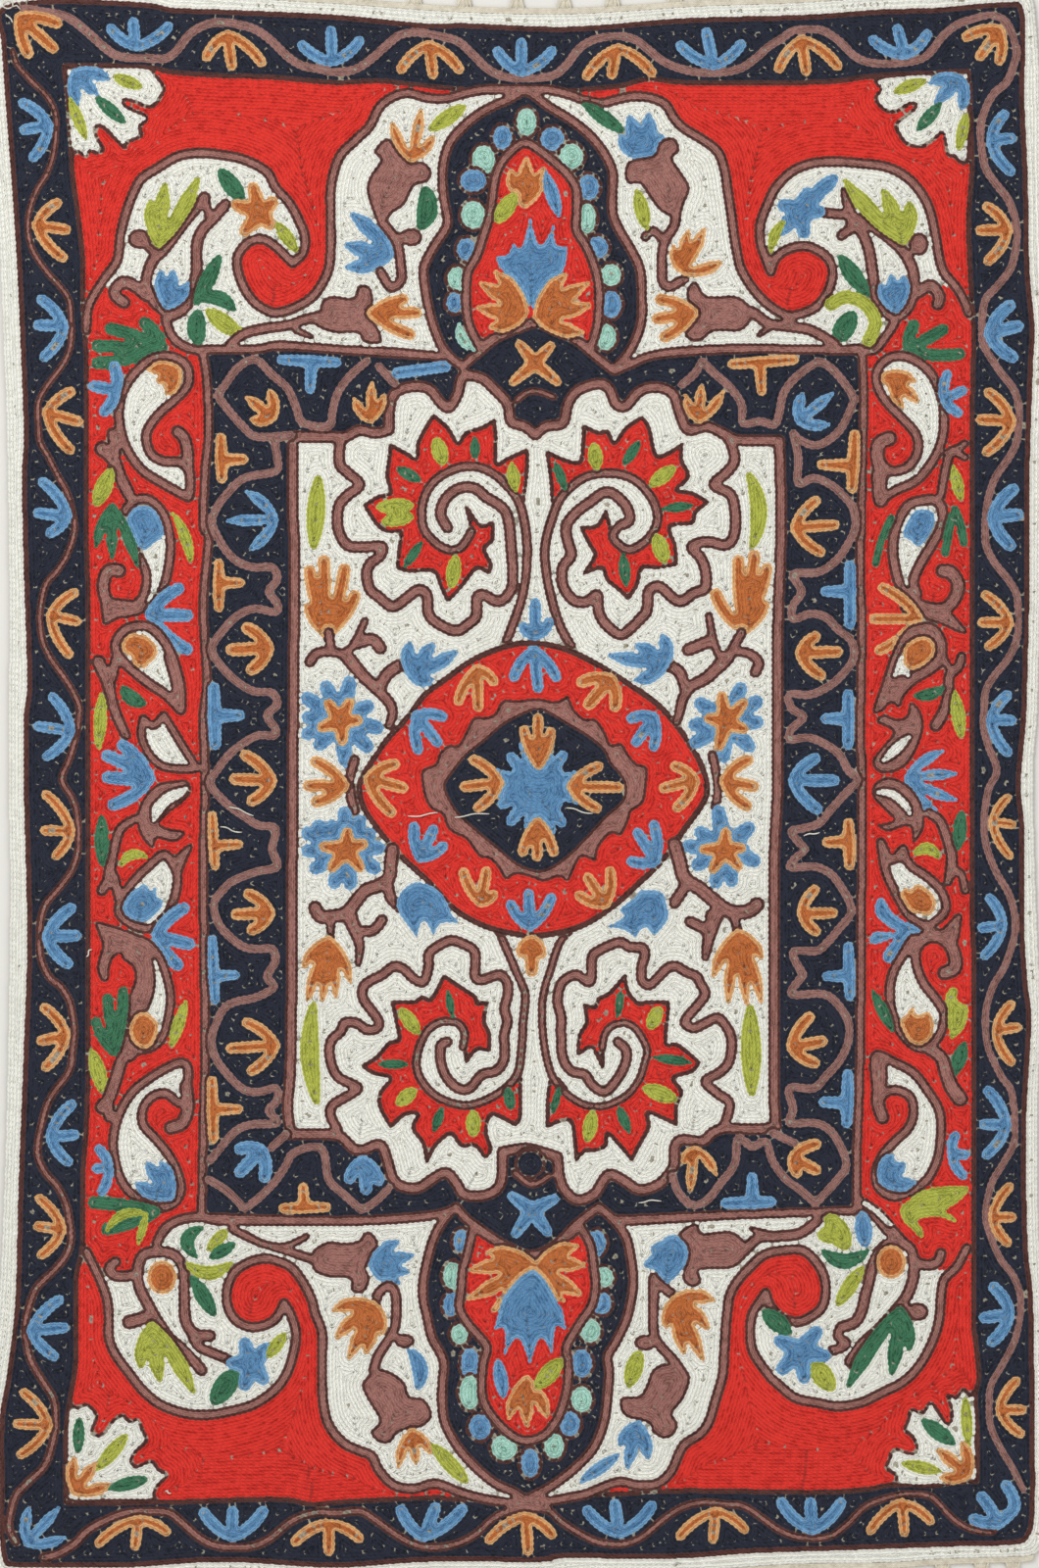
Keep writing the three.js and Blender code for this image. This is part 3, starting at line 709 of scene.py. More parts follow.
# The two pendants: a navy band with scallops, and a red heart with flowers.
PENDANTS: tuple[Motif, ...] = (
    Patch(N, ((7,403),(-2,399),(-17,392),(-28,384),(-37,374),(-41,363),(-42,352),(-41,339),(-39,329),
        (-40,323),(-46,314),(-51,305),(-53,299),(-52,288),(-50,277),(-47,266),(-42,254),(-36,247),
        (-30,243),(-30,243),(-22,250),(-11,259),(0,264),(13,268),(23,264),(36,258),(47,249),(57,241),
        (57,241),(65,249),(71,260),(74,271),(74,282),(73,299),(67,312),(61,322),(57,332),(57,345),(57,356),
        (52,367),(44,377),(33,386),(20,394)), BR, 6.3),
    Dot(MI, (7,385), 13.5, 18, DK),
    Dot(BL, (-7,376), 13, 16, DK),
    Dot(MI, (-18,363), 15.5, 19, DK),
    Dot(BL, (-24,351), 17, 15, DK),
    Dot(MI, (-24,331), 16, 18, DK),
    Dot(BL, (-28,311), 13, 15, DK),
    Dot(MI, (-33,294), 14, 15.5, DK),
    Dot(BL, (-35,280), 11, 14, DK),
    Leaf(MI, 7, (-33,268),(-22,252), -3),
    Dot(BL, (22,375), 16, 16, DK),
    Dot(MI, (33,365), 16, 17, DK),
    Dot(BL, (43,347), 14, 17, DK),
    Dot(MI, (42,329), 12.5, 20, DK),
    Dot(BL, (48,312), 15, 15, DK),
    Dot(MI, (56,296), 14, 15, DK),
    Dot(BL, (56,279), 14, 18, DK),
    Dot(MI, (53,260), 14, 17.5, DK),
    Patch(RD, ((6,373),(-2,368),(-9,359),(-12,348),(-14,332),(-18,319),(-22,307),(-27,298),(-28,288),
        (-28,277),(-26,266),(-20,254),(-20,254),(-11,260),(0,265),(13,269),(23,265),(36,258),(44,253),
        (44,253),(48,266),(49,277),(49,288),(47,299),(42,312),(36,322),(36,332),(36,345),(32,353),(24,361),
        (14,369)), BR, 6.3),
    Sprig(RU, 12, (6,337),((-3,359),(7,366),(18,360))),
    Leaf(OL, 10.5, (1,344),(-11,326)),
    Leaf(BL, 8.5, (18,356),(26,330)),
    Patch(BL, ((11,276),(11,276),(0,289),(-10,303),(-10,307),(-4,308),(-1,315),(-1,315),(4,312),(9,330),
        (9,330),(15,313),(23,326),(23,326),(24,314),(31,313),(31,313),(29,300),(21,287))),
    Sprig(RU, 12, (6,274),((-12,299),(-21,292),(-23,277),(-16,265))),
    Sprig(RU, 12, (13,272),((31,298),(44,292),(46,279),(41,262))),
    Patch(N, ((-34,-246),(-34,-246),(-40,-252),(-46,-262),(-50,-274),(-53,-289),(-53,-300),(-51,-309),
        (-48,-322),(-43,-331),(-41,-338),(-42,-349),(-42,-362),(-40,-373),(-32,-387),(-22,-398),(-11,-407),
        (0,-412),(6,-416),(11,-414),(22,-408),(35,-398),(46,-386),(52,-371),(54,-356),(55,-342),(54,-333),
        (58,-326),(64,-314),(67,-304),(69,-289),(67,-272),(64,-262),(57,-253),(49,-246),(49,-246),
        (36,-256),(25,-267),(10,-274),(-6,-268),(-17,-261),(-28,-253)), BR, 6.3),
    Dot(BL, (-31,-266), 11, 16, DK),
    Dot(MI, (-36,-286), 13, 18, DK),
    Dot(BL, (-37,-303), 11, 16, DK),
    Dot(MI, (-32,-320), 12, 14, DK),
    Dot(BL, (-26,-337), 12.5, 20, DK),
    Dot(MI, (-26,-354), 14, 22, DK),
    Dot(BL, (-20,-374), 15, 17, DK),
    Dot(MI, (-6,-386), 17, 17, DK),
    Dot(BL, (9,-395), 12.5, 19, DK),
    Dot(MI, (23,-385), 13.5, 17, DK),
    Dot(BL, (32,-372), 14, 17, DK),
    Dot(MI, (39,-358), 14, 17, DK),
    Dot(BL, (39,-337), 14, 18.5, DK),
    Dot(MI, (44,-318), 14, 16, DK),
    Dot(BL, (51,-302), 12.5, 15, DK),
    Dot(MI, (52,-287), 13, 14, DK),
    Dot(BL, (48,-267), 12, 17, DK),
    Patch(RD, ((-24,-258),(-24,-258),(-27,-272),(-30,-283),(-31,-294),(-32,-305),(-27,-314),(-20,-322),
        (-16,-328),(-18,-336),(-19,-347),(-18,-359),(-12,-369),(-3,-378),(6,-382),(17,-379),(25,-369),
        (29,-358),(31,-348),(31,-337),(30,-328),(34,-320),(39,-312),(45,-303),(47,-292),(46,-281),
        (44,-268),(38,-257),(38,-257),(25,-268),(10,-276),(-6,-269),(-17,-262)), BR, 6.3),
    Sprig(RU, 12, (10,-279),((-18,-272),(-28,-283),(-28,-300),(-14,-308))),
    Sprig(RU, 12, (14,-280),((38,-268),(42,-280),(40,-298),(29,-302))),
    Patch(BL, ((11,-282),(11,-282),(3,-287),(-6,-298),(-9,-306),(-12,-318),(-12,-318),(-6,-317),(-6,-333),
        (-6,-333),(2,-322),(9,-338),(9,-338),(15,-322),(22,-332),(22,-332),(24,-316),(30,-318),(30,-318),
        (28,-306),(26,-303),(18,-289))),
    Leaf(BL, 8.5, (-10,-334),(-6,-358), 0),
    Sprig(RU, 11, (7,-346),((-4,-370),(7,-375),(20,-370))),
    Leaf(OL, 11, (28,-334),(12,-352)),
)

# The navy ground of the middle with its red field and the cream lattice strip around it.
INNER: tuple[Motif, ...] = (
    Patch(N, ((-182,253),(-182,253),(-179,235),(-178,204),(-180,182),(-181,150),(-178,143),(-181,104),
        (-179,60),(-181,38),(-180,0),(-181,-50),(-180,-150),(-181,-200),(-182,-252),(-182,-252),
        (-100,-254),(-50,-251),(-35,-247),(-35,-247),(-28,-253),(-6,-268),(9,-275),(25,-267),(36,-256),
        (49,-247),(49,-247),(57,-253),(116,-251),(199,-248),(199,-248),(199,-217),(201,-150),(202,0),
        (201,27),(202,93),(201,127),(203,221),(202,252),(202,252),(136,253),(85,250),(67,244),(58,240),
        (58,240),(47,249),(36,258),(23,264),(13,268),(0,264),(-11,259),(-22,250),(-31,243),(-31,243),
        (-40,248),(-94,252),(-136,255),(-150,253)), BR, 6),
    Patch(C, ((-129,202),(-129,202),(-105,202),(-105,202),(-98,202),(-90,206),(-81,204),(-73,206),
        (-73,206),(-73,216),(-70,227),(-61,231),(-50,230),(-43,222),(-38,219),(-33,227),(-30,237),
        (-19,236),(-11,229),(-4,221),(-2,211),(6,208),(12,203),(12,203),(18,208),(28,210),(31,221),
        (37,229),(49,233),(55,230),(59,221),(65,220),(72,228),(82,231),(92,227),(96,216),(101,206),
        (112,208),(123,203),(131,200),(154,200),(154,200),(155,150),(153,82),(153,0),(151,-50),(151,-172),
        (152,-200),(152,-200),(136,-201),(123,-200),(115,-203),(109,-208),(97,-207),(93,-212),(93,-221),
        (89,-228),(82,-234),(72,-236),(64,-231),(56,-227),(52,-230),(46,-239),(36,-242),(29,-236),
        (26,-228),(25,-217),(25,-217),(12,-213),(5,-212),(-7,-214),(-7,-214),(-8,-232),(-16,-239),
        (-29,-239),(-34,-232),(-40,-226),(-48,-230),(-56,-235),(-66,-234),(-71,-229),(-74,-219),(-77,-211),
        (-81,-210),(-88,-213),(-94,-212),(-100,-206),(-107,-204),(-130,-204),(-130,-204),(-132,-187),
        (-130,-150),(-129,0),(-128,127),(-129,160)), BR, 7),
    Band(BR, 4.5, ((1,223),(8,228),(15,228),(23,225))),
    Dot(N, (9,-221), 16, 16, DK),
    Band(BR, 5, ((0,-226),(10,-233),(20,-228))),
)

# The shells above and below the medallion: brown scrolls and their leaves.
SHELLS: tuple[Motif, ...] = (
    Patch(RD, ((-87,162),(-87,162),(-79,167),(-72,169),(-74,179),(-73,187),(-72,197),(-72,197),(-63,192),
        (-57,189),(-56,198),(-51,208),(-47,214),(-47,214),(-39,207),(-33,198),(-28,204),(-19,207),
        (-12,211),(-12,211),(-11,201),(-11,186),(-4,189),(7,194),(7,194),(7,182),(4,163),(-2,171),
        (-13,181),(-26,185),(-40,181),(-50,172),(-54,160),(-53,149),(-48,142),(-41,137),(-34,136),
        (-29,140),(-25,147),(-28,161),(-28,161),(-20,150),(-13,152),(-13,152),(-13,142),(-18,137),
        (-14,128),(-15,123),(-15,123),(-22,126),(-28,119),(-33,113),(-39,107),(-39,107),(-43,116),
        (-47,124),(-61,124),(-68,126),(-68,126),(-67,136),(-66,147),(-72,147),(-79,150)), DK, 2.5),
    Patch(RD, ((23,162),(21,180),(19,193),(19,193),(27,189),(38,187),(40,199),(40,208),(40,208),(49,204),
        (54,205),(58,198),(65,207),(74,213),(74,213),(78,207),(82,191),(89,192),(97,197),(97,197),(97,188),
        (101,179),(94,171),(103,169),(112,164),(112,164),(105,158),(103,152),(90,150),(93,139),(94,128),
        (94,128),(83,126),(74,126),(71,116),(66,108),(66,108),(61,113),(54,119),(51,126),(41,123),(41,123),
        (47,133),(44,139),(39,149),(39,149),(48,150),(53,158),(53,158),(57,145),(61,139),(67,136),(76,141),
        (82,149),(83,158),(78,169),(68,178),(54,181),(40,178),(28,168)), DK, 2.5),
    Patch(RD, ((-80,-159),(-88,-164),(-88,-164),(-82,-168),(-72,-171),(-78,-180),(-78,-188),(-72,-199),
        (-72,-199),(-64,-192),(-56,-192),(-59,-200),(-53,-209),(-51,-219),(-51,-219),(-46,-210),(-37,-203),
        (-31,-210),(-23,-210),(-17,-217),(-17,-217),(-14,-212),(-17,-202),(-14,-192),(-7,-194),(0,-198),
        (0,-198),(3,-194),(3,-178),(2,-170),(-10,-181),(-28,-187),(-45,-182),(-55,-171),(-57,-160),
        (-53,-147),(-48,-141),(-41,-138),(-33,-139),(-29,-145),(-28,-161),(-28,-161),(-22,-154),(-15,-155),
        (-15,-155),(-15,-145),(-18,-138),(-16,-127),(-16,-127),(-22,-128),(-23,-124),(-32,-118),(-41,-112),
        (-41,-112),(-44,-118),(-49,-126),(-54,-124),(-58,-127),(-71,-127),(-71,-127),(-68,-141),(-67,-149),
        (-73,-151)), DK, 2.5),
    Patch(RD, ((37,-157),(37,-157),(38,-146),(42,-139),(41,-129),(41,-129),(47,-130),(49,-125),(55,-122),
        (64,-112),(64,-112),(66,-121),(72,-128),(77,-127),(89,-127),(89,-127),(89,-133),(88,-151),
        (95,-152),(107,-162),(107,-162),(103,-167),(92,-171),(97,-179),(94,-187),(94,-198),(94,-198),
        (86,-194),(77,-191),(78,-199),(74,-207),(68,-218),(68,-218),(63,-212),(54,-203),(53,-210),
        (47,-213),(41,-213),(36,-218),(36,-218),(35,-206),(33,-196),(26,-196),(19,-199),(19,-199),
        (20,-178),(24,-171),(35,-183),(49,-187),(63,-183),(74,-171),(77,-157),(75,-149),(71,-143),
        (64,-139),(56,-141),(52,-147),(51,-164),(51,-164),(45,-153)), DK, 2.5),
    Band(BR, 7, ((-101,201),(-102,187),(-97,181),(-90,174),(-97,168),(-102,162),(-103,151),(-100,142),
        (-95,138),(-83,138),(-77,138),(-78,133),(-84,128),(-86,122),(-84,113),(-79,109),(-71,103),
        (-63,108),(-56,113),(-51,110),(-50,99),(-44,93),(-34,89),(-27,93),(-22,98),(-22,108),(-18,110),
        (-9,106),(-2,113),(-1,123),(-2,138),(-3,150),(-5,158),(-10,163),(-17,167),(-23,172),(-32,172),
        (-40,166),(-43,157),(-39,149))),
    Band(BR, 6, ((-5,82),(-2,90),(2,101),(5,112),(7,127),(7,143),(4,160),(-2,171),(-13,181),(-26,185),
        (-40,181),(-50,172),(-54,160),(-53,149),(-48,142),(-41,137),(-34,136),(-29,140),(-25,147))),
    Band(BR, 7, ((123,203),(126,198),(128,188),(123,181),(116,174),(125,169),(128,161),(128,146),(123,139),
        (112,141),(103,138),(108,132),(111,124),(111,114),(104,111),(97,106),(91,109),(84,115),(78,112),
        (77,101),(74,97),(67,90),(61,87),(53,93),(49,100),(48,110),(42,106),(34,107),(28,116),(28,126),
        (33,133),(31,141),(30,150),(36,158),(44,164),(54,170),(64,163),(67,154),(63,151))),
    Band(BR, 6, ((33,80),(26,93),(21,110),(18,127),(18,140),(22,155),(28,168),(40,178),(54,181),(68,178),
        (78,169),(83,158),(82,149),(76,141),(67,136),(61,139),(57,145),(63,152))),
    Band(BR, 6.5, ((-103,-201),(-107,-193),(-106,-187),(-98,-182),(-91,-177),(-96,-174),(-103,-170),
        (-107,-161),(-107,-150),(-101,-144),(-99,-139),(-92,-139),(-86,-143),(-80,-142),(-79,-138),
        (-83,-132),(-88,-125),(-88,-118),(-83,-114),(-77,-111),(-70,-106),(-64,-108),(-59,-113),(-53,-115),
        (-50,-106),(-50,-99),(-44,-94),(-37,-91),(-30,-93),(-23,-98),(-23,-112),(-19,-114),(-13,-112),
        (-8,-111),(-4,-116),(-4,-123),(-6,-131),(-4,-138),(-6,-146),(-6,-160),(-11,-167),(-19,-169),
        (-26,-177),(-33,-177),(-40,-170),(-43,-161),(-43,-152),(-39,-150))),
    Band(BR, 5.5, ((-9,-85),(-6,-93),(-2,-102),(2,-112),(6,-121),(6,-129),(5,-138),(4,-155),(1,-170),
        (-11,-181),(-28,-187),(-45,-182),(-55,-171),(-57,-160),(-53,-147),(-48,-141),(-41,-138),(-33,-139),
        (-29,-145),(-30,-153))),
    Band(BR, 6.5, ((122,-199),(125,-186),(118,-180),(111,-173),(119,-168),(125,-161),(126,-148),(123,-141),
        (118,-136),(111,-139),(104,-142),(99,-139),(101,-135),(107,-128),(111,-122),(108,-116),(106,-112),
        (99,-109),(94,-106),(89,-107),(83,-113),(78,-117),(74,-114),(74,-106),(76,-99),(74,-95),(67,-95),
        (61,-92),(49,-97),(45,-101),(44,-115),(36,-111),(29,-114),(26,-119),(25,-127),(27,-135),(27,-145),
        (28,-159),(33,-167),(41,-169),(45,-175),(52,-179),(58,-174),(64,-164),(65,-155),(60,-150))),
    Band(BR, 5, ((32,-85),(27,-91),(24,-98),(21,-108),(18,-117),(16,-128),(16,-138),(17,-150),(19,-161),
        (23,-172),(31,-181),(42,-187),(53,-187),(64,-182),(72,-173),(76,-161),(77,-154),(71,-143),
        (64,-139),(56,-141),(52,-147),(51,-154))),
    Leaf(OL, 10, (-81,161),(-58,162)),
    Leaf(GR, 7, (-69,184),(-54,176)),
    Leaf(OL, 10, (-46,202),(-41,185)),
    Leaf(GR, 6, (-23,202),(-23,188)),
    Leaf(OL, 8, (-2,187),(1,170)),
    Leaf(GR, 6, (-64,126),(-54,141)),
    Leaf(OL, 9, (-37,113),(-34,134)),
    Leaf(OL, 9, (-78,152),(-58,156)),
    Leaf(GR, 6, (23,188),(30,171)),
    Leaf(OL, 9, (46,199),(48,182)),
    Leaf(GR, 6.5, (73,200),(63,185)),
    Leaf(OL, 9, (94,185),(78,173)),
    Leaf(GR, 6, (86,160),(104,162)),
    Leaf(GR, 7, (63,134),(65,115)),
    Leaf(OL, 10, (82,146),(88,128)),
    Leaf(GR, 6, (-79,-163),(-62,-163)),
    Leaf(OL, 9, (-69,-187),(-57,-177)),
    Leaf(GR, 6, (-47,-202),(-42,-188)),
    Leaf(OL, 9, (-24,-206),(-24,-189)),
    Leaf(GR, 7, (-2,-190),(-4,-176)),
    Leaf(GR, 5, (-39,-120),(-36,-136)),
    Leaf(OL, 9, (-67,-130),(-55,-146)),
    Leaf(GR, 6, (81,-159),(103,-162)),
    Leaf(OL, 10, (74,-176),(95,-184)),
    Leaf(GR, 6.5, (60,-187),(67,-203)),
    Leaf(OL, 9, (46,-189),(42,-209)),
    Leaf(GR, 5, (26,-176),(22,-192)),
    Leaf(GR, 5, (62,-119),(60,-136)),
    Leaf(OL, 9, (85,-129),(78,-143)),
)

# The sprigs that stand around the medallion, and the two stars on its axis.
RING: tuple[Motif, ...] = (
    Sprig(BL, 7, (11,78),((-2,60),(14,53),(26,60))),
    Sprig(RU, 7, (-22,67),((-10,58),(-21,42),(-34,46))),
    Sprig(BL, 7, (-57,40),((-39,39),(-43,22),(-56,17))),
    Sprig(RU, 7.5, (-85,3),((-67,13),(-62,-3),(-70,-19))),
    Sprig(BL, 7, (-55,-43),((-59,-22),(-46,-24),(-39,-35))),
    Sprig(RU, 7, (-20,-69),((-31,-49),(-16,-48),(-10,-63))),
    Sprig(BL, 7, (9,-83),((-4,-68),(8,-61),(23,-64))),
    Sprig(RU, 7, (53,-70),((35,-64),(41,-52),(56,-48))),
    Sprig(BL, 7, (82,-45),((65,-45),(70,-26),(81,-21))),
    Sprig(RU, 7, (105,2),((91,12),(84,-3),(93,-16))),
    Sprig(BL, 7, (81,39),((65,38),(69,22),(81,19))),
    Sprig(RU, 8, (56,61),((36,59),(41,44),(59,42))),
    Sprig(BL, 7, (12,86),((3,93),(12,108),(22,96))),
    Sprig(RU, 8, (10,-91),((2,-100),(10,-112),(17,-101))),
    Star(RU, 7, (12,245),((1,258),(-3,232),(23,257),(27,232)), heart=4),
    Star(BL, 7.5, (10,-248),((-4,-238),(-1,-264),(26,-240),(21,-263)), heart=5),
)

# The branches, stars and leaves on both sides of the medallion.
ARMS: tuple[Motif, ...] = (
    Sprig(RU, 8, (-109,88),((-121,105),(-120,127),(-111,133),(-98,128),(-91,112))),
    Band(BR, 6.5, ((-108,88),(-107,78))),
    Band(BR, 7, ((-119,71),(-115,76),(-107,77),(-100,76),(-94,80),(-90,88),(-87,95)), end=5),
    Band(BR, 9, ((-98,75),(-90,65),(-83,58),(-77,52),(-72,46),(-71,40),(-73,34)), end=6),
    Band(BR, 8, ((-78,57),(-74,64),(-67,69))),
    Band(BR, 8, ((-92,82),(-83,84),(-78,79))),
    Sprig(BL, 11, (-60,63),((-61,84),(-46,83),(-32,78),(-46,60))),
    Star(BL, 10, (-101,37),((-95,63),(-111,60),(-124,52),(-124,39),(-124,28),(-116,20),(-98,10),(-83,19),
        (-76,32),(-82,47)), heart=13),
    Star(RU, 8, (-101,37),((-110,49),(-95,50),(-88,37),(-100,22),(-115,32)), heart=5),
    Band(BR, 6.5, ((-93,14),(-96,2),(-95,-8),(-93,-16))),
    Sprig(RU, 7.5, (-99,-1),((-118,15),(-123,-1),(-118,-12))),
    Star(BL, 10, (-98,-38),((-99,-13),(-88,-18),(-81,-27),(-75,-37),(-78,-51),(-95,-62),(-106,-61),
        (-119,-51),(-124,-39),(-124,-27),(-117,-22),(-108,-21)), heart=13),
    Star(RU, 8, (-98,-38),((-97,-25),(-85,-34),(-88,-51),(-108,-51),(-114,-36)), heart=5),
    Band(BR, 8.5, ((-71,-38),(-72,-46),(-73,-54),(-79,-59),(-87,-62),(-92,-68),(-98,-75),(-106,-77),
        (-113,-77),(-116,-72))),
    Band(BR, 7.5, ((-74,-58),(-72,-66),(-67,-71))),
    Band(BR, 10, ((-96,-77),(-92,-87),(-90,-95),(-91,-105)), end=4),
    Band(BR, 7, ((-90,-86),(-82,-85),(-77,-79))),
    Band(BR, 7, ((-107,-78),(-107,-90)), end=4),
    Patch(BL, ((-66,-63),(-56,-57),(-43,-63),(-36,-76),(-32,-81),(-32,-81),(-43,-81),(-47,-88),(-47,-88),
        (-53,-79),(-57,-89),(-57,-89),(-68,-73))),
    Sprig(RU, 9, (-108,-90),((-124,-108),(-121,-128),(-112,-128),(-104,-125),(-95,-116))),
    Sprig(RU, 8, (133,90),((115,113),(130,133),(140,136),(148,128),(147,106))),
    Band(BR, 6.5, ((132,88),(127,79))),
    Band(BR, 7, ((140,65),(142,71),(136,76),(127,77),(121,73),(116,82),(113,98)), end=5),
    Band(BR, 8, ((113,83),(101,78))),
    Band(BR, 9, ((124,74),(112,62),(103,57),(98,50),(96,42),(94,36)), end=6),
    Band(BR, 7.5, ((99,57),(96,65),(90,69))),
    Sprig(BL, 11, (88,70),((86,88),(69,82),(54,75),(69,59))),
    Star(BL, 10, (123,36),((133,59),(144,50),(145,36),(139,19),(121,12),(102,22),(101,34),(105,49)),
        heart=13),
    Star(RU, 8, (123,36),((120,54),(135,49),(136,31),(118,19),(110,39)), heart=5),
    Band(BR, 6, ((115,17),(118,0),(117,-13))),
    Sprig(RU, 7.5, (122,2),((138,16),(142,-2),(137,-15))),
    Star(BL, 10, (122,-38),((118,-12),(105,-26),(97,-36),(103,-49),(116,-61),(127,-60),(143,-46),(137,-39),
        (139,-23)), heart=13),
    Star(RU, 7.5, (122,-38),((123,-25),(135,-37),(132,-50),(114,-52),(107,-38)), heart=5),
    Band(BR, 9, ((93,-35),(96,-45),(99,-55),(108,-61),(115,-67),(123,-73),(131,-75),(138,-73),(141,-70))),
    Band(BR, 7.5, ((99,-60),(93,-69))),
    Band(BR, 11, ((116,-77),(113,-89),(111,-101)), end=5),
    Band(BR, 7, ((110,-84),(102,-80))),
    Band(BR, 7, ((128,-78),(130,-87)), end=5),
    Patch(BL, ((73,-62),(70,-66),(60,-73),(60,-73),(64,-77),(54,-83),(54,-83),(64,-85),(70,-89),(70,-89),
        (76,-83),(81,-89),(81,-89),(89,-79),(89,-72),(87,-65),(83,-62))),
    Sprig(RU, 9.5, (130,-86),((115,-113),(124,-129),(135,-129),(144,-128),(145,-103))),
    Leaf(OL, 11, (-114,180),(-117,136)),
    Leaf(OL, 10, (136,182),(138,136), bend=5),
    Leaf(OL, 11, (-117,-126),(-115,-187), bend=-3),
    Leaf(OL, 12, (137,-128),(138,-182)),
)

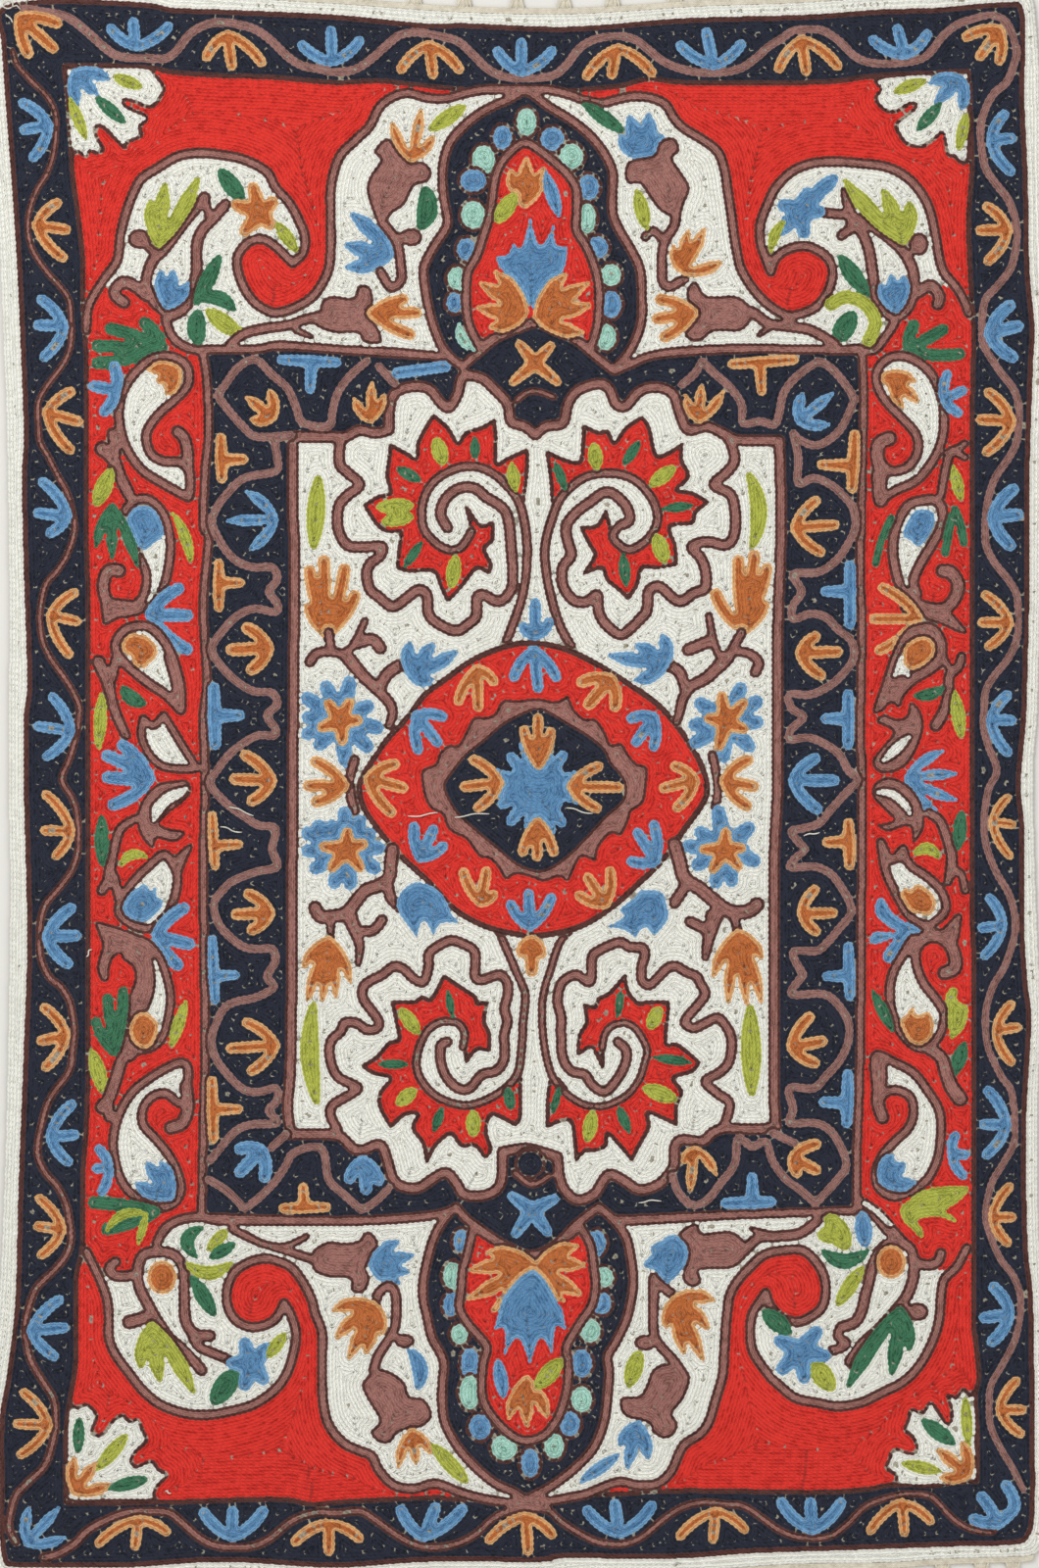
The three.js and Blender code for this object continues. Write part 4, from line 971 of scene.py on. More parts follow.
# The scalloped line along the navy ground, with a sprig or a tee in each of its waves.
LATTICE: tuple[Motif, ...] = (
    Band(MV, 4.8, ((-130,203),(-139,200),(-138,190),(-139,182),(-157,178),(-167,169),(-173,161),(-176,152),
        (-170,139),(-162,130),(-152,126),(-141,126),(-138,119),(-143,112),(-138,105),(-139,100),(-151,102),
        (-161,98),(-169,90),(-176,79),(-171,69),(-162,60),(-152,54),(-141,53),(-138,46),(-144,40),
        (-139,32),(-140,28),(-150,28),(-164,19),(-173,8),(-177,0),(-168,-11),(-157,-19),(-149,-24),
        (-139,-26),(-141,-38),(-138,-48),(-150,-51),(-163,-56),(-169,-61),(-175,-70),(-171,-83),(-159,-94),
        (-150,-96),(-141,-96),(-139,-103),(-144,-112),(-140,-118),(-150,-124),(-163,-127),(-170,-132),
        (-176,-147),(-174,-159),(-166,-170),(-157,-178),(-148,-179),(-139,-177),(-138,-184),(-143,-190),
        (-138,-197),(-152,-198),(-161,-201),(-169,-209),(-177,-219))),
    Band(MV, 4.8, ((-178,-230),(-167,-237),(-157,-247),(-157,-247),(-149,-241),(-140,-232),(-133,-222),
        (-129,-215),(-118,-211),(-111,-214),(-108,-230),(-99,-239),(-89,-248),(-89,-248),(-81,-243),
        (-73,-235))),
    Band(MV, 4.8, ((-133,-204),(-142,-212))),
    Band(MV, 4.8, ((-130,203),(-150,202),(-158,208),(-166,217),(-173,226),(-173,226),(-167,234),(-161,242),
        (-151,247),(-141,238),(-132,230),(-127,219),(-123,210),(-108,208),(-106,216),(-103,227),(-96,237),
        (-86,246))),
    Band(MV, 4.8, ((-79,243),(-70,233))),
    Band(MV, 4.8, ((97,232),(105,239),(109,246),(109,246),(116,239),(125,231),(132,221),(133,210),
        (143,211),(151,209),(154,216),(156,226),(161,234),(169,241),(177,246),(177,246),(184,242),
        (192,233),(198,224),(198,224),(190,207),(181,199),(174,197),(166,200),(162,204))),
    Band(MV, 4.8, ((162,204),(165,190),(165,175),(174,178),(184,174),(192,167),(197,160),(198,149),
        (193,138),(186,129),(176,123),(162,122),(167,112),(162,104),(162,96),(172,99),(181,97),(188,90),
        (196,83),(197,73),(191,64),(183,57),(172,52),(160,52),(161,44),(168,39),(161,32),(160,26),(171,27),
        (181,23),(189,17),(194,8),(199,2),(191,-7),(183,-16),(177,-23),(167,-26),(161,-28),(169,-38),
        (169,-38),(160,-48),(174,-48),(182,-51),(188,-57),(196,-73),(188,-85),(182,-92),(176,-97),
        (162,-98),(168,-111),(168,-111),(161,-122),(178,-122),(186,-126),(194,-138),(194,-150),(189,-161),
        (181,-170),(174,-177),(160,-177),(162,-189),(160,-197),(172,-197),(180,-199),(187,-206),(193,-221),
        (187,-231),(175,-244),(175,-244),(166,-236),(157,-229),(150,-219),(146,-208),(138,-211),(130,-206),
        (128,-221),(120,-232),(112,-242),(103,-245),(95,-237),(92,-228))),
    Band(MV, 4.8, ((150,-203),(163,-209))),
    Sprig(RU, 9.5, (-140,213),((-157,226),(-155,212),(-143,231))),
    Sprig(BL, 9, (-139,154),((-157,171),(-168,153),(-155,135))),
    Sprig(RU, 8, (-143,79),((-158,93),(-168,78),(-155,64))),
    Sprig(RU, 7.5, (-141,2),((-159,19),(-166,3),(-155,-12))),
    Sprig(RU, 7.5, (-142,-75),((-157,-62),(-165,-76),(-155,-87))),
    Sprig(RU, 7, (-139,-152),((-158,-137),(-168,-154),(-155,-169))),
    Sprig(BL, 8, (-147,-213),((-163,-212),(-162,-228),(-145,-232))),
    Tee(RU, 7.5, (-171,205),(-170,174),(-154,189)),
    Tee(RU, 7, (-172,132),(-172,99),(-156,117)),
    Tee(BL, 8, (-175,60),(-174,19),(-156,40)),
    Tee(RU, 6.5, (-176,-15),(-174,-51),(-157,-35)),
    Tee(BL, 6.5, (-176,-87),(-174,-129),(-159,-111)),
    Tee(RU, 7, (-176,-169),(-175,-210),(-157,-189)),
    Band(BL, 7, ((-68,239),(-40,243))),
    Tee(BL, 7, (-139,247),(-100,245),(-119,226)),
    Tee(RU, 7, (-138,-247),(-106,-246),(-123,-231)),
    Sprig(RU, 8.5, (-84,211),((-94,225),(-83,235),(-75,228))),
    Sprig(BL, 8, (-88,-219),((-98,-232),(-86,-239),(-77,-233))),
    Sprig(BL, 9, (165,211),((168,229),(186,228),(184,209))),
    Sprig(RU, 7, (163,149),((177,167),(189,151),(180,133))),
    Tee(RU, 7.5, (198,207),(196,168),(175,186)),
    Tee(BL, 7.5, (195,131),(195,89),(177,112)),
    Sprig(RU, 7.5, (166,76),((177,88),(191,77),(180,61))),
    Tee(BL, 7.5, (194,56),(194,19),(177,38)),
    Sprig(BL, 7.5, (162,2),((177,17),(189,2),(178,-17))),
    Tee(RU, 7.5, (194,-19),(195,-51),(178,-34)),
    Sprig(RU, 7, (167,-75),((176,-59),(188,-75),(177,-88))),
    Tee(BL, 7, (194,-91),(195,-127),(178,-112)),
    Sprig(RU, 7.5, (161,-153),((173,-133),(182,-149),(177,-164))),
    Tee(BL, 7.5, (194,-165),(193,-201),(176,-185)),
    Sprig(RU, 7.5, (162,-217),((178,-208),(165,-229),(178,-226))),
    Tee(RU, 7, (123,244),(166,247),(144,225)),
    Sprig(RU, 8.5, (107,211),((99,227),(109,234),(122,229))),
    Tee(BL, 7.5, (119,-244),(153,-243),(138,-225)),
    Sprig(RU, 8.5, (105,-212),((97,-222),(102,-239),(118,-228))),
)

# The round medallion in the middle: its outline, the scalloped band inside it and the flower at its heart.
MEDALLION: tuple[Motif, ...] = (
    Patch(RD, ((-90,0),(-83,13),(-74,26),(-62,39),(-52,52),(-40,61),(-26,71),(-11,78),(5,82),(19,81),
        (33,77),(49,69),(65,59),(81,48),(92,37),(102,23),(109,10),(112,-3),(109,-12),(99,-26),(86,-44),
        (72,-58),(56,-72),(38,-83),(16,-88),(-1,-87),(-19,-82),(-36,-72),(-50,-57),(-66,-42),(-79,-27),
        (-88,-13)), DK, 3.5),
    Patch(BR, ((-54,8),(-46,12),(-44,18),(-38,23),(-33,22.6),(-28,31),(-24,38.7),(-17,39),(-11.7,41),
        (-7,48.7),(2,48.7),(13,50),(24,48),(31,51),(35,43),(41,38),(47,38),(53,30),(56,23),(62,24),(66,18),
        (71,12),(77,10),(77,0),(75,-11),(68,-16),(67,-20),(62,-30),(56,-29),(49,-37),(47,-44.5),(39,-42.5),
        (35,-49),(31,-57),(26,-54),(17,-57),(11,-55),(1,-52.5),(-5,-56),(-9.5,-49),(-15,-43.5),
        (-20.5,-42.5),(-28,-32.5),(-35,-29),(-39.5,-25),(-42,-18),(-48,-15),(-52,-9),(-54,0))),
    Patch(N, ((-40,-1),(-36,6),(-28,16),(-17,25),(-5,35),(7,41),(14,43),(21,40),(31,34),(41,28),(51,20),
        (55,12),(61,5),(64,-2),(62,-10),(53,-18),(41,-31),(31,-41),(21,-48),(13,-50),(2,-46),(-9,-37),
        (-21,-27),(-32,-17),(-37,-9))),
    Star(BL, 8, (13,-2),((5,26),(21,26),(30,19),(43,6),(44,-10),(29,-25),(22,-29),(8,-27),(-4,-24),
        (-10,-13),(-12,-5),(-15,7),(-4,18)), 18),
    Sprig(RU, 7, (14,11),((4.5,34),(13.5,41),(22,33))),
    Sprig(RU, 7, (-9,1),((-26,16),(-32,-2),(-23,-16))),
    Sprig(RU, 7, (13.5,-22),((3.5,-42),(13,-45),(24,-42))),
    Sprig(RU, 7, (33,-1.5),((51,12),(63.5,-2),(50,-16))),
)

# The red strip on the left: the paisleys, the branches that join them, and the sprigs and leaves between.
LEFT_STRIP: tuple[Motif, ...] = (
    Sprig(GR, 8, (-205,254),((-217,271),(-238,266),(-246,255),(-246,244))),
    Patch(C, ((-192,168),(-205,175),(-217,183),(-226,196),(-230,212),(-228,228),(-219,241),(-209,248),
        (-197,248),(-190,242),(-190,232),(-198,223),(-207,215),(-214,204),(-212,193),(-205,188),(-194,187),
        (-189,182),(-189,168)), BR, 6.5),
    Sprig(RU, 11, (-196,241),((-214,241),(-209,233),(-203,225))),
    Band(BR, 8, ((-196,205),(-192,201),(-190,192),(-190,184))),
    Sprig(BL, 7.5, (-232,229),((-233,246),(-248,232),(-240,214))),
    Band(BR, 9.5, ((-240,195),(-234,190),(-230,180),(-224,168)), 8),
    Band(BR, 7, ((-234,204),(-232,192))),
    Leaf(OL, 10.5, (-234,184),(-244,161)),
    Patch(C, ((-214,166),(-222,164),(-228,155),(-225,142),(-218,131),(-214,121),(-216,109),(-222,102),
        (-212,103),(-206,110),(-202,122),(-200,138),(-202,152),(-207,161)), BR, 6.3),
    Patch(BL, ((-215,162),(-222,160),(-226,152),(-222,143),(-216,136),(-210,140),(-204,145),(-206,154),
        (-210,160))),
    Band(BR, 9, ((-230,124),(-236,124),(-239,117),(-238,108),(-234,101),(-226,100),(-217,102)), 7),
    Patch(BR, ((-240,108),(-240,95),(-238,92),(-230,96),(-221,99),(-213,102),(-218,106),(-229,108))),
    Sprig(GR, 8.5, (-234,162),((-244,137),(-234,130),(-219,126))),
    Leaf(OL, 7, (-199,158),(-188,128), 2),
    Sprig(BL, 8, (-212,98),((-193,116),(-187,98),(-188,76))),
    Patch(C, ((-216,92),(-226,90),(-232,82),(-230,74),(-222,66),(-212,58),(-203,52),(-194,43),(-194,43),
        (-194,54),(-197,68),(-202,80),(-209,89)), BR, 6.8),
    Band(BR, 9, ((-200,74),(-196,60),(-195,50))),
    Sprig(RU, 15, (-219,84),((-210,71),(-216,66),(-226,76))),
    Band(BR, 9, ((-242,71),(-239,65),(-236,57),(-233,44),(-226,28)), 6.5),
    Band(BR, 7, ((-232,72),(-234,62))),
    Leaf(GR, 9, (-229,57),(-214,46), -2),
    Leaf(OL, 8.3, (-240,53),(-242,20)),
    Patch(C, ((-216,38),(-216,38),(-210,34),(-204,40),(-204,40),(-199,32),(-193,22),(-186,11),(-186,9),
        (-198,9),(-206,11),(-213,18),(-217,28)), BR, 5.8),
    Sprig(BL, 8, (-212,3),((-230,25),(-240,18),(-240,4),(-236,-14))),
    Patch(BR, ((-210,-38),(-217,-31),(-220,-20),(-216,-8),(-208,0),(-199,2),(-190,2),(-188,-5),(-193,-11),
        (-201,-17),(-206,-23),(-200,-26),(-193,-27),(-192,-30),(-198,-34),(-208,-32))),
    Patch(C, ((-210,-22),(-211,-14),(-206,-8),(-200,-4),(-190,-2),(-193,-7),(-201,-12),(-206,-18))),
    Band(BR, 6, ((-220,-20),(-229,-26),(-233,-38),(-235,-48),(-236,-56)), 8),
    Band(BR, 7, ((-235,-54),(-240,-62))),
    Band(BR, 7, ((-233,-54),(-230,-66))),
    Leaf(GR, 8.8, (-240,-18),(-240,-48)),
    Leaf(OL, 6.5, (-230,-48),(-213,-42), 4),
    Patch(C, ((-204,-41),(-212,-47),(-221,-56),(-228,-66),(-230,-75),(-222,-82),(-212,-84),(-204,-78),
        (-198,-67),(-196,-54),(-199,-46)), BR, 6.3),
    Patch(BR, ((-188,-34),(-195,-39),(-200,-46),(-195,-54),(-190,-44),(-187,-37))),
    Patch(BL, ((-215,-80),(-224,-78),(-228,-72),(-224,-64),(-219,-60),(-215,-58),(-212,-62),(-209,-60),
        (-208,-66),(-204,-68),(-207,-74))),
    Sprig(BL, 8, (-208,-88),((-190,-70),(-186,-94),(-194,-108))),
    Patch(BR, ((-244,-80),(-234,-82),(-222,-86),(-216,-90),(-215,-97),(-225,-99),(-232,-100),(-235,-106),
        (-236,-114),(-240,-115),(-243,-108),(-242,-101),(-240,-94),(-242,-88))),
    Patch(C, ((-218,-91),(-212,-94),(-206,-102),(-202,-113),(-200,-125),(-202,-139),(-206,-149),
        (-213,-154),(-220,-154),(-225,-149),(-222,-140),(-216,-131),(-212,-120),(-212,-108),(-214,-99)),
        BR, 6),
    Band(BR, 10, ((-224,-99),(-218,-104),(-216,-114),(-221,-127),(-227,-139),(-228,-149),(-224,-157))),
    Patch(RU, ((-216,-154),(-222,-150),(-224,-142),(-220,-134),(-214,-133),(-210,-136),(-207,-140),
        (-208,-146),(-211,-152))),
    Sprig(GR, 7, (-233,-156),((-227,-118),(-237,-122),(-245,-136))),
    Leaf(OL, 7.5, (-191,-126),(-200,-154)),
    Leaf(OL, 9.5, (-246,-154),(-238,-182)),
    Band(BR, 8, ((-222,-156),(-228,-160),(-232,-172),(-236,-183),(-240,-188)), 9),
    Band(BR, 6.5, ((-236,-184),(-236,-194))),
    Patch(C, ((-194,-162),(-202,-165),(-212,-171),(-222,-179),(-229,-190),(-233,-203),(-233,-216),
        (-229,-230),(-221,-240),(-210,-246),(-200,-245),(-194,-237),(-196,-226),(-201,-216),(-209,-206),
        (-216,-198),(-216,-189),(-211,-182),(-203,-180),(-196,-185),(-190,-186),(-190,-175),(-190,-165)),
        BR, 6.3),
    Band(BR, 8.5, ((-191,-176),(-190,-188),(-193,-197),(-200,-200))),
    Sprig(BL, 11.5, (-200,-240),((-222,-232),(-215,-219),(-206,-218))),
    Sprig(BL, 6.5, (-236,-223),((-243,-210),(-246,-224),(-241,-240))),
    Sprig(GR, 8, (-209,-249),((-248,-243),(-240,-260))),
    Leaf(OL, 6, (-238,-260),(-213,-250), 5),
    Leaf(OL, 5.5, (-214,-250),(-219,-268)),
    Band(BR, 6, ((-208,-266),(-200,-256),(-190,-252))),
)

# The red strip on the right, worked in the same way.
RIGHT_STRIP: tuple[Motif, ...] = (
    Sprig(GR, 7.5, (229,252),((233,270),(252,266),(262,250))),
    Patch(C, ((214,166),(214,166),(222,171),(233,176),(242,186),(248,198),(250,212),(248,226),(242,239),
        (232,247),(222,249),(214,245),(210,237),(213,227),(220,218),(228,210),(234,202),(234,192),
        (228,184),(219,182),(214,185),(210,178)), BR, 6.5),
    Band(BR, 9.5, ((218,201),(212,198),(211,190),(213,182),(212,172),(213,165))),
    Sprig(RU, 9.5, (218,238),((234,234),(236,221),(226,218))),
    Band(RU, 10, ((218,236),(225,236))),
    Sprig(BL, 6.5, (250,224),((252,241),(263,230),(260,214))),
    Band(BR, 6, ((248,168),(250,180),(253,192),(257,194)), 7),
    Band(BR, 5.5, ((256,194),(262,198))),
    Band(BR, 5.5, ((256,193),(262,190))),
    Leaf(OL, 7.5, (255,185),(260,164)),
    Patch(C, ((238,165),(229,162),(223,152),(220,140),(221,127),(225,114),(232,108),(234,110),(232,118),
        (236,128),(242,138),(248,149),(249,159),(245,165)), BR, 7),
    Patch(BL, ((238,160),(232,158),(227,150),(226,144),(230,142),(235,138),(240,143),(244,151),(244,157))),
    Band(BR, 9, ((249,124),(254,123),(258,116),(256,108),(250,102),(238,103),(227,110)), 8),
    Patch(BR, ((227,107),(238,104),(250,104),(258,96),(264,88),(258,88),(249,92),(240,95),(228,97),
        (224,101))),
    Sprig(GR, 5.5, (256,160),((262,138),(250,132))),
    Band(GR, 4.5, ((219,155),(215,146),(212,137),(210,128))),
    Sprig(RU, 7, (235,96),((212,116),(206,96),(210,76))),
    Patch(BR, ((236,94),(227,90),(219,76),(213,58),(208,42),(214,42),(219,47),(224,44),(227,51),(234,58),
        (244,64),(251,71),(252,81),(249,89),(243,94))),
    Patch(RU, ((238,86),(230,83),(226,78),(226,70),(230,66),(238,69),(244,75),(244,82))),
    Patch(C, ((226,76),(223,72),(220,62),(220,62),(226,64),(229,62),(229,62),(230,66),(226,70))),
    Band(BR, 6.5, ((260,74),(258,68),(253,63),(252,52),(250,43),(245,34)), 8),
    Band(BR, 5.5, ((250,72),(254,66))),
    Leaf(GR, 7.5, (250,56),(232,51), 1.5),
    Leaf(OL, 8.5, (256,54),(260,26)),
    Patch(BR, ((230,48),(236,43),(238,33),(234,20),(227,10),(217,6),(210,8),(208,14),(214,22),(220,30),
        (214,34),(210,36),(214,41),(222,38),(228,40))),
    Leaf(C, 5.6, (230,28),(214,13)),
    Sprig(BL, 8.5, (228,3),((250,20),(258,6),(258,-10),(246,-17))),
    Patch(BR, ((232,-34),(230,-25),(223,-26),(217,-28),(211,-24),(218,-22),(220,-20),(214,-14),(208,-7),
        (209,0),(216,4),(225,2),(233,-5),(238,-15),(238,-26))),
    Patch(C, ((210,-5),(214,-3),(221,-4),(226,-8),(230,-13),(230,-18),(225,-13),(219,-8))),
    Band(BR, 6.5, ((241,-17),(247,-21),(251,-30),(254,-41),(254,-52)), 8),
    Band(BR, 6, ((253,-50),(252,-57))),
    Band(BR, 6, ((256,-50),(260,-53),(262,-62))),
    Leaf(GR, 8.5, (260,-15),(258,-38)),
    Leaf(OL, 7.5, (231,-41),(248,-43), 4.5),
    Patch(C, ((213,-34),(213,-34),(219,-44),(226,-38),(226,-38),(230,-47),(240,-54),(248,-62),(251,-72),
        (246,-79),(238,-82),(229,-76),(222,-64),(216,-51)), BR, 6.3),
    Patch(BR, ((212,-33),(213,-46),(218,-46),(223,-46),(228,-44),(226,-38),(223,-40),(220,-42),(216,-38))),
    Patch(RU, ((224,-64),(227,-60),(230,-62),(234,-58),(238,-60),(243,-64),(245,-70),(242,-76),(236,-76),
        (230,-74),(226,-68))),
    Patch(BL, ((235,-84),(228,-80),(220,-75),(214,-66),(210,-69),(210,-76),(216,-82),(222,-86),(215,-86),
        (209,-86),(206,-92),(211,-93),(220,-90),(216,-96),(214,-100),(216,-104),(222,-104),(228,-96),
        (234,-90))),
    Patch(C, ((232,-90),(226,-99),(220,-110),(218,-122),(220,-135),(226,-146),(234,-153),(242,-152),
        (248,-144),(250,-134),(245,-125),(238,-116),(234,-106),(233,-97)), BR, 6.5),
    Band(BR, 9, ((232,-97),(236,-91),(244,-88),(252,-92),(256,-100),(256,-107),(250,-110))),
    Patch(BR, ((233,-92),(240,-87),(248,-84),(256,-76),(260,-75),(260,-82),(258,-92),(252,-94),(244,-92),
        (237,-94))),
    Patch(RU, ((224,-138),(226,-136),(228,-134),(232,-129),(233,-134),(237,-134),(240,-132),(243,-136),
        (244,-142),(242,-148),(236,-152),(230,-150),(226,-144))),
    Leaf(GR, 7, (208,-120),(220,-144)),
    Patch(OL, ((254,-118),(258,-120),(257,-125),(261,-128),(264,-129),(263,-138),(260,-144),(254,-148),
        (252,-140),(252,-130),(250,-125))),
    Leaf(GR, 9, (262,-150),(255,-170), 0),
    Band(BR, 8, ((241,-154),(248,-159),(251,-168),(254,-176),(259,-183)), 10),
    Patch(C, ((210,-158),(221,-162),(232,-168),(240,-178),(247,-190),(248,-204),(246,-218),(240,-230),
        (230,-237),(220,-240),(212,-235),(210,-226),(214,-216),(221,-208),(229,-200),(232,-191),(230,-182),
        (222,-178),(215,-180),(212,-184),(210,-173)), BR, 6.3),
    Band(BR, 8.5, ((212,-160),(213,-171),(211,-184),(214,-194))),
    Sprig(BL, 11.5, (214,-231),((220,-214),(228,-220),(234,-232))),
    Sprig(BL, 6.5, (254,-215),((257,-202),(265,-216),(262,-230))),
    Patch(OL, ((264,-234),(250,-234),(238,-236),(229,-242),(224,-247),(226,-254),(231,-259),(236,-264),
        (238,-260),(234,-254),(241,-252),(248,-252),(256,-255),(256,-252),(251,-248),(257,-244),
        (263,-238))),
)

STRIPS: tuple[Motif, ...] = LEFT_STRIP + RIGHT_STRIP


def draw(chart: Chart, outline: np.ndarray) -> None:
    """Works the whole pattern into the chart, from the grounds up to the last flower.

    Args:
        chart: the chart of the panel, in mm.
        outline: the panel's outline, in mm.
    """
    chart.fill(outline, Yarn.CREAM)
    groups = (GROUNDS, BORDER, CORNERS, CREAM_GROUND, INNER, SHELLS, MEDALLION, RING, ARMS, LATTICE, PENDANTS,
              SCROLLS, BELLS, STRIPS)
    for group in groups:
        for motif in group:
            motif.paint(chart)




@dataclass
class Rows:
    """Rows of stitches: where each row runs, in which yarn, and whether it closes on itself."""

    line: list[np.ndarray] = field(default_factory=list)
    yarn: list[int] = field(default_factory=list)
    pitch: list[float] = field(default_factory=list)
    closed: list[bool] = field(default_factory=list)

    def add(self, line: np.ndarray, yarn: int, pitch: float, closed: bool) -> None:
        """Adds one row."""
        self.line.append(line)
        self.yarn.append(yarn)
        self.pitch.append(pitch)
        self.closed.append(closed)


class Stitcher:
    """Works a chart in rows that follow each shape's outline inwards, then fills what is left bare.

    PITCH is the width of a row, FINE_PITCH that of the FINE yarns and STITCH the length of a stitch.
    DEEPEST is how far inwards an outline is followed. STRIDE, STRIDES and SHORTEST are the step of a
    filling row, how many it takes each way, and half of its least length. BLUR is in cells, the rest in mm.
    """

    PITCH = 2.0
    FINE_PITCH = 1.62
    STITCH = 3.3
    FINE = (Yarn.BROWN, Yarn.MAUVE, Yarn.DARK_BROWN)
    DEEPEST = 30.0
    STRIDE = 0.8
    STRIDES = 24
    SHORTEST = 1.2
    BLUR = 7

    def __init__(self, chart: Chart, rng: np.random.Generator) -> None:
        """Takes the painted chart.

        Args:
            chart: The rug's chart.
            rng: The seeded source of the hand's unevenness.
        """
        self.chart = chart
        self.rng = rng
        pitch = np.full(len(Yarn), self.PITCH)
        for yarn in self.FINE:
            pitch[yarn.value] = self.FINE_PITCH
        self.pitch = pitch
        self.depth = self._depth(chart.yarn)
        self.outer = np.arange(len(Yarn))
        for core, rim in RIM.items():
            self.outer[core.value] = rim.value

    def _depth(self, label: np.ndarray) -> np.ndarray:
        """Measures how far each cell lies from another yarn.

        Args:
            label: The chart's yarns.

        Returns:
            The distance in mm, to the boundary between the cells.
        """
        rows = label.shape[0]
        far = int(self.DEEPEST / Chart.CELL)
        up = np.empty(label.shape, np.float32)
        down = np.empty(label.shape, np.float32)
        up[0] = down[-1] = 1
        for i in range(1, rows):
            up[i] = np.where(label[i] == label[i - 1], up[i - 1] + 1, 1)
        for i in range(rows - 2, -1, -1):
            down[i] = np.where(label[i] == label[i + 1], down[i + 1] + 1, 1)
        run = np.minimum(up, down) ** 2
        best = run.copy()
        for d in range(1, far + 1):
            if d * d > best.max():
                break
            for a, b in ((slice(d, None), slice(None, -d)), (slice(None, -d), slice(d, None))):
                same = label[:, a] == label[:, b]
                gap = np.where(same, run[:, b], 0) + np.float32(d * d)
                np.minimum(best[:, a], gap, out=best[:, a])
        return (np.sqrt(best) - 0.5) * np.float32(Chart.CELL)

    def rows(self) -> Rows:
        """Lays the rows.

        Returns:
            Every row of the rug, the short fillings included.
        """
        made = Rows()
        u = self.depth / self.pitch[self.chart.yarn].astype(np.float32)
        for line, closed in self._contours(u):
            self._lay(made, line, closed)
        LOG.info("rows that follow the outlines: %d", len(made.line))
        self._fill_bare(made)
        LOG.info("rows with the fillings: %d", len(made.line))
        return made

    def _contours(self, u: np.ndarray) -> Iterable[tuple[np.ndarray, bool]]:
        """Finds the lines half a row, one and a half rows and so on from every outline.

        Args:
            u: The depth counted in rows.

        Returns:
            Each line in mm, and whether it closes.
        """
        rows, columns = u.shape
        level = np.floor(u + 0.5).astype(np.int16)
        flat = rows * columns
        x = np.full(2 * flat, np.nan, np.float32)
        y = np.full(2 * flat, np.nan, np.float32)
        for across, base in ((True, 0), (False, flat)):
            a = level[:, :-1] if across else level[:-1]
            b = level[:, 1:] if across else level[1:]
            ua = u[:, :-1] if across else u[:-1]
            ub = u[:, 1:] if across else u[1:]
            i, j = np.nonzero(a != b)
            cut = np.maximum(a[i, j], b[i, j]) - 0.5
            t = np.clip((cut - ua[i, j]) / (ub[i, j] - ua[i, j]), 0.02, 0.98)
            where = base + i * columns + j
            x[where] = j + (t if across else 0)
            y[where] = i + (0 if across else t)
        corner = np.arange(flat).reshape(rows, columns)[:-1, :-1]
        edges = np.stack([corner, corner + columns, corner + flat, corner + flat + 1], axis=-1).reshape(-1, 4)
        here = ~np.isnan(x[edges])
        count = here.sum(axis=1)
        two = edges[count == 2][here[count == 2]].reshape(-1, 2)
        four = edges[count == 4]
        pairs = np.vstack([two, four[:, [0, 2]], four[:, [1, 3]]])
        return self._link(pairs, x, y)

    def _link(self, pairs: np.ndarray, x: np.ndarray, y: np.ndarray) -> Iterable[tuple[np.ndarray, bool]]:
        """Joins the crossings into lines.

        Args:
            pairs: Crossings that are neighbours on a line.
            x: The column of each crossing.
            y: The row of each crossing.

        Returns:
            Each line in mm, and whether it closes.
        """
        ends = np.vstack([pairs, pairs[:, ::-1]])
        ends = ends[np.argsort(ends[:, 0], kind="stable")]
        ids, first, count = np.unique(ends[:, 0], return_index=True, return_counts=True)
        place = np.full(len(x), -1, np.int64)
        place[ids] = np.arange(len(ids))
        one = place[ends[first, 1]]
        other = np.where(count > 1, place[ends[np.minimum(first + 1, len(ends) - 1), 1]], -1)
        one, other = one.tolist(), other.tolist()
        seen = bytearray(len(ids))
        px = self.chart.left + (x[ids] + 0.5) * Chart.CELL
        py = self.chart.foot + (y[ids] + 0.5) * Chart.CELL
        order = [i for i, o in enumerate(other) if o < 0] + list(range(len(ids)))
        lines = []
        for start in order:
            if seen[start]:
                continue
            chain = [start]
            seen[start] = 1
            here = start
            while True:
                step = one[here] if not seen[one[here]] else other[here]
                if step < 0 or seen[step]:
                    break
                seen[step] = 1
                chain.append(step)
                here = step
            loop = other[start] >= 0 and len(chain) > 6
            lines.append((np.stack([px[chain], py[chain]], axis=1).astype(float), loop))
        return lines

    def _lay(self, made: Rows, line: np.ndarray, closed: bool) -> None:
        """Smooths one line, spaces its stitches and adds it.

        Args:
            made: The rows so far.
            line: The line in mm.
            closed: True where it closes.
        """
        if len(line) < 5:
            return
        middle = line[len(line) // 2]
        cell = self._cell(middle)
        label = int(self.chart.yarn[cell])
        pitch = float(self.pitch[label])
        first_row = self.depth[cell] < pitch
        yarn = int(self.outer[label] if first_row else label)
        for _ in range(3):
            line = self._soften(line, closed)
        spaced = self._space(line, closed, self.STITCH / 2)
        if spaced is not None:
            made.add(spaced, yarn, pitch, closed)

    @staticmethod
    def _soften(line: np.ndarray, closed: bool) -> np.ndarray:
        """Takes the small steps out of a line."""
        if closed:
            return (line * 2 + np.roll(line, 1, axis=0) + np.roll(line, -1, axis=0)) / 4
        soft = line.copy()
        soft[1:-1] = (line[1:-1] * 2 + line[:-2] + line[2:]) / 4
        return soft

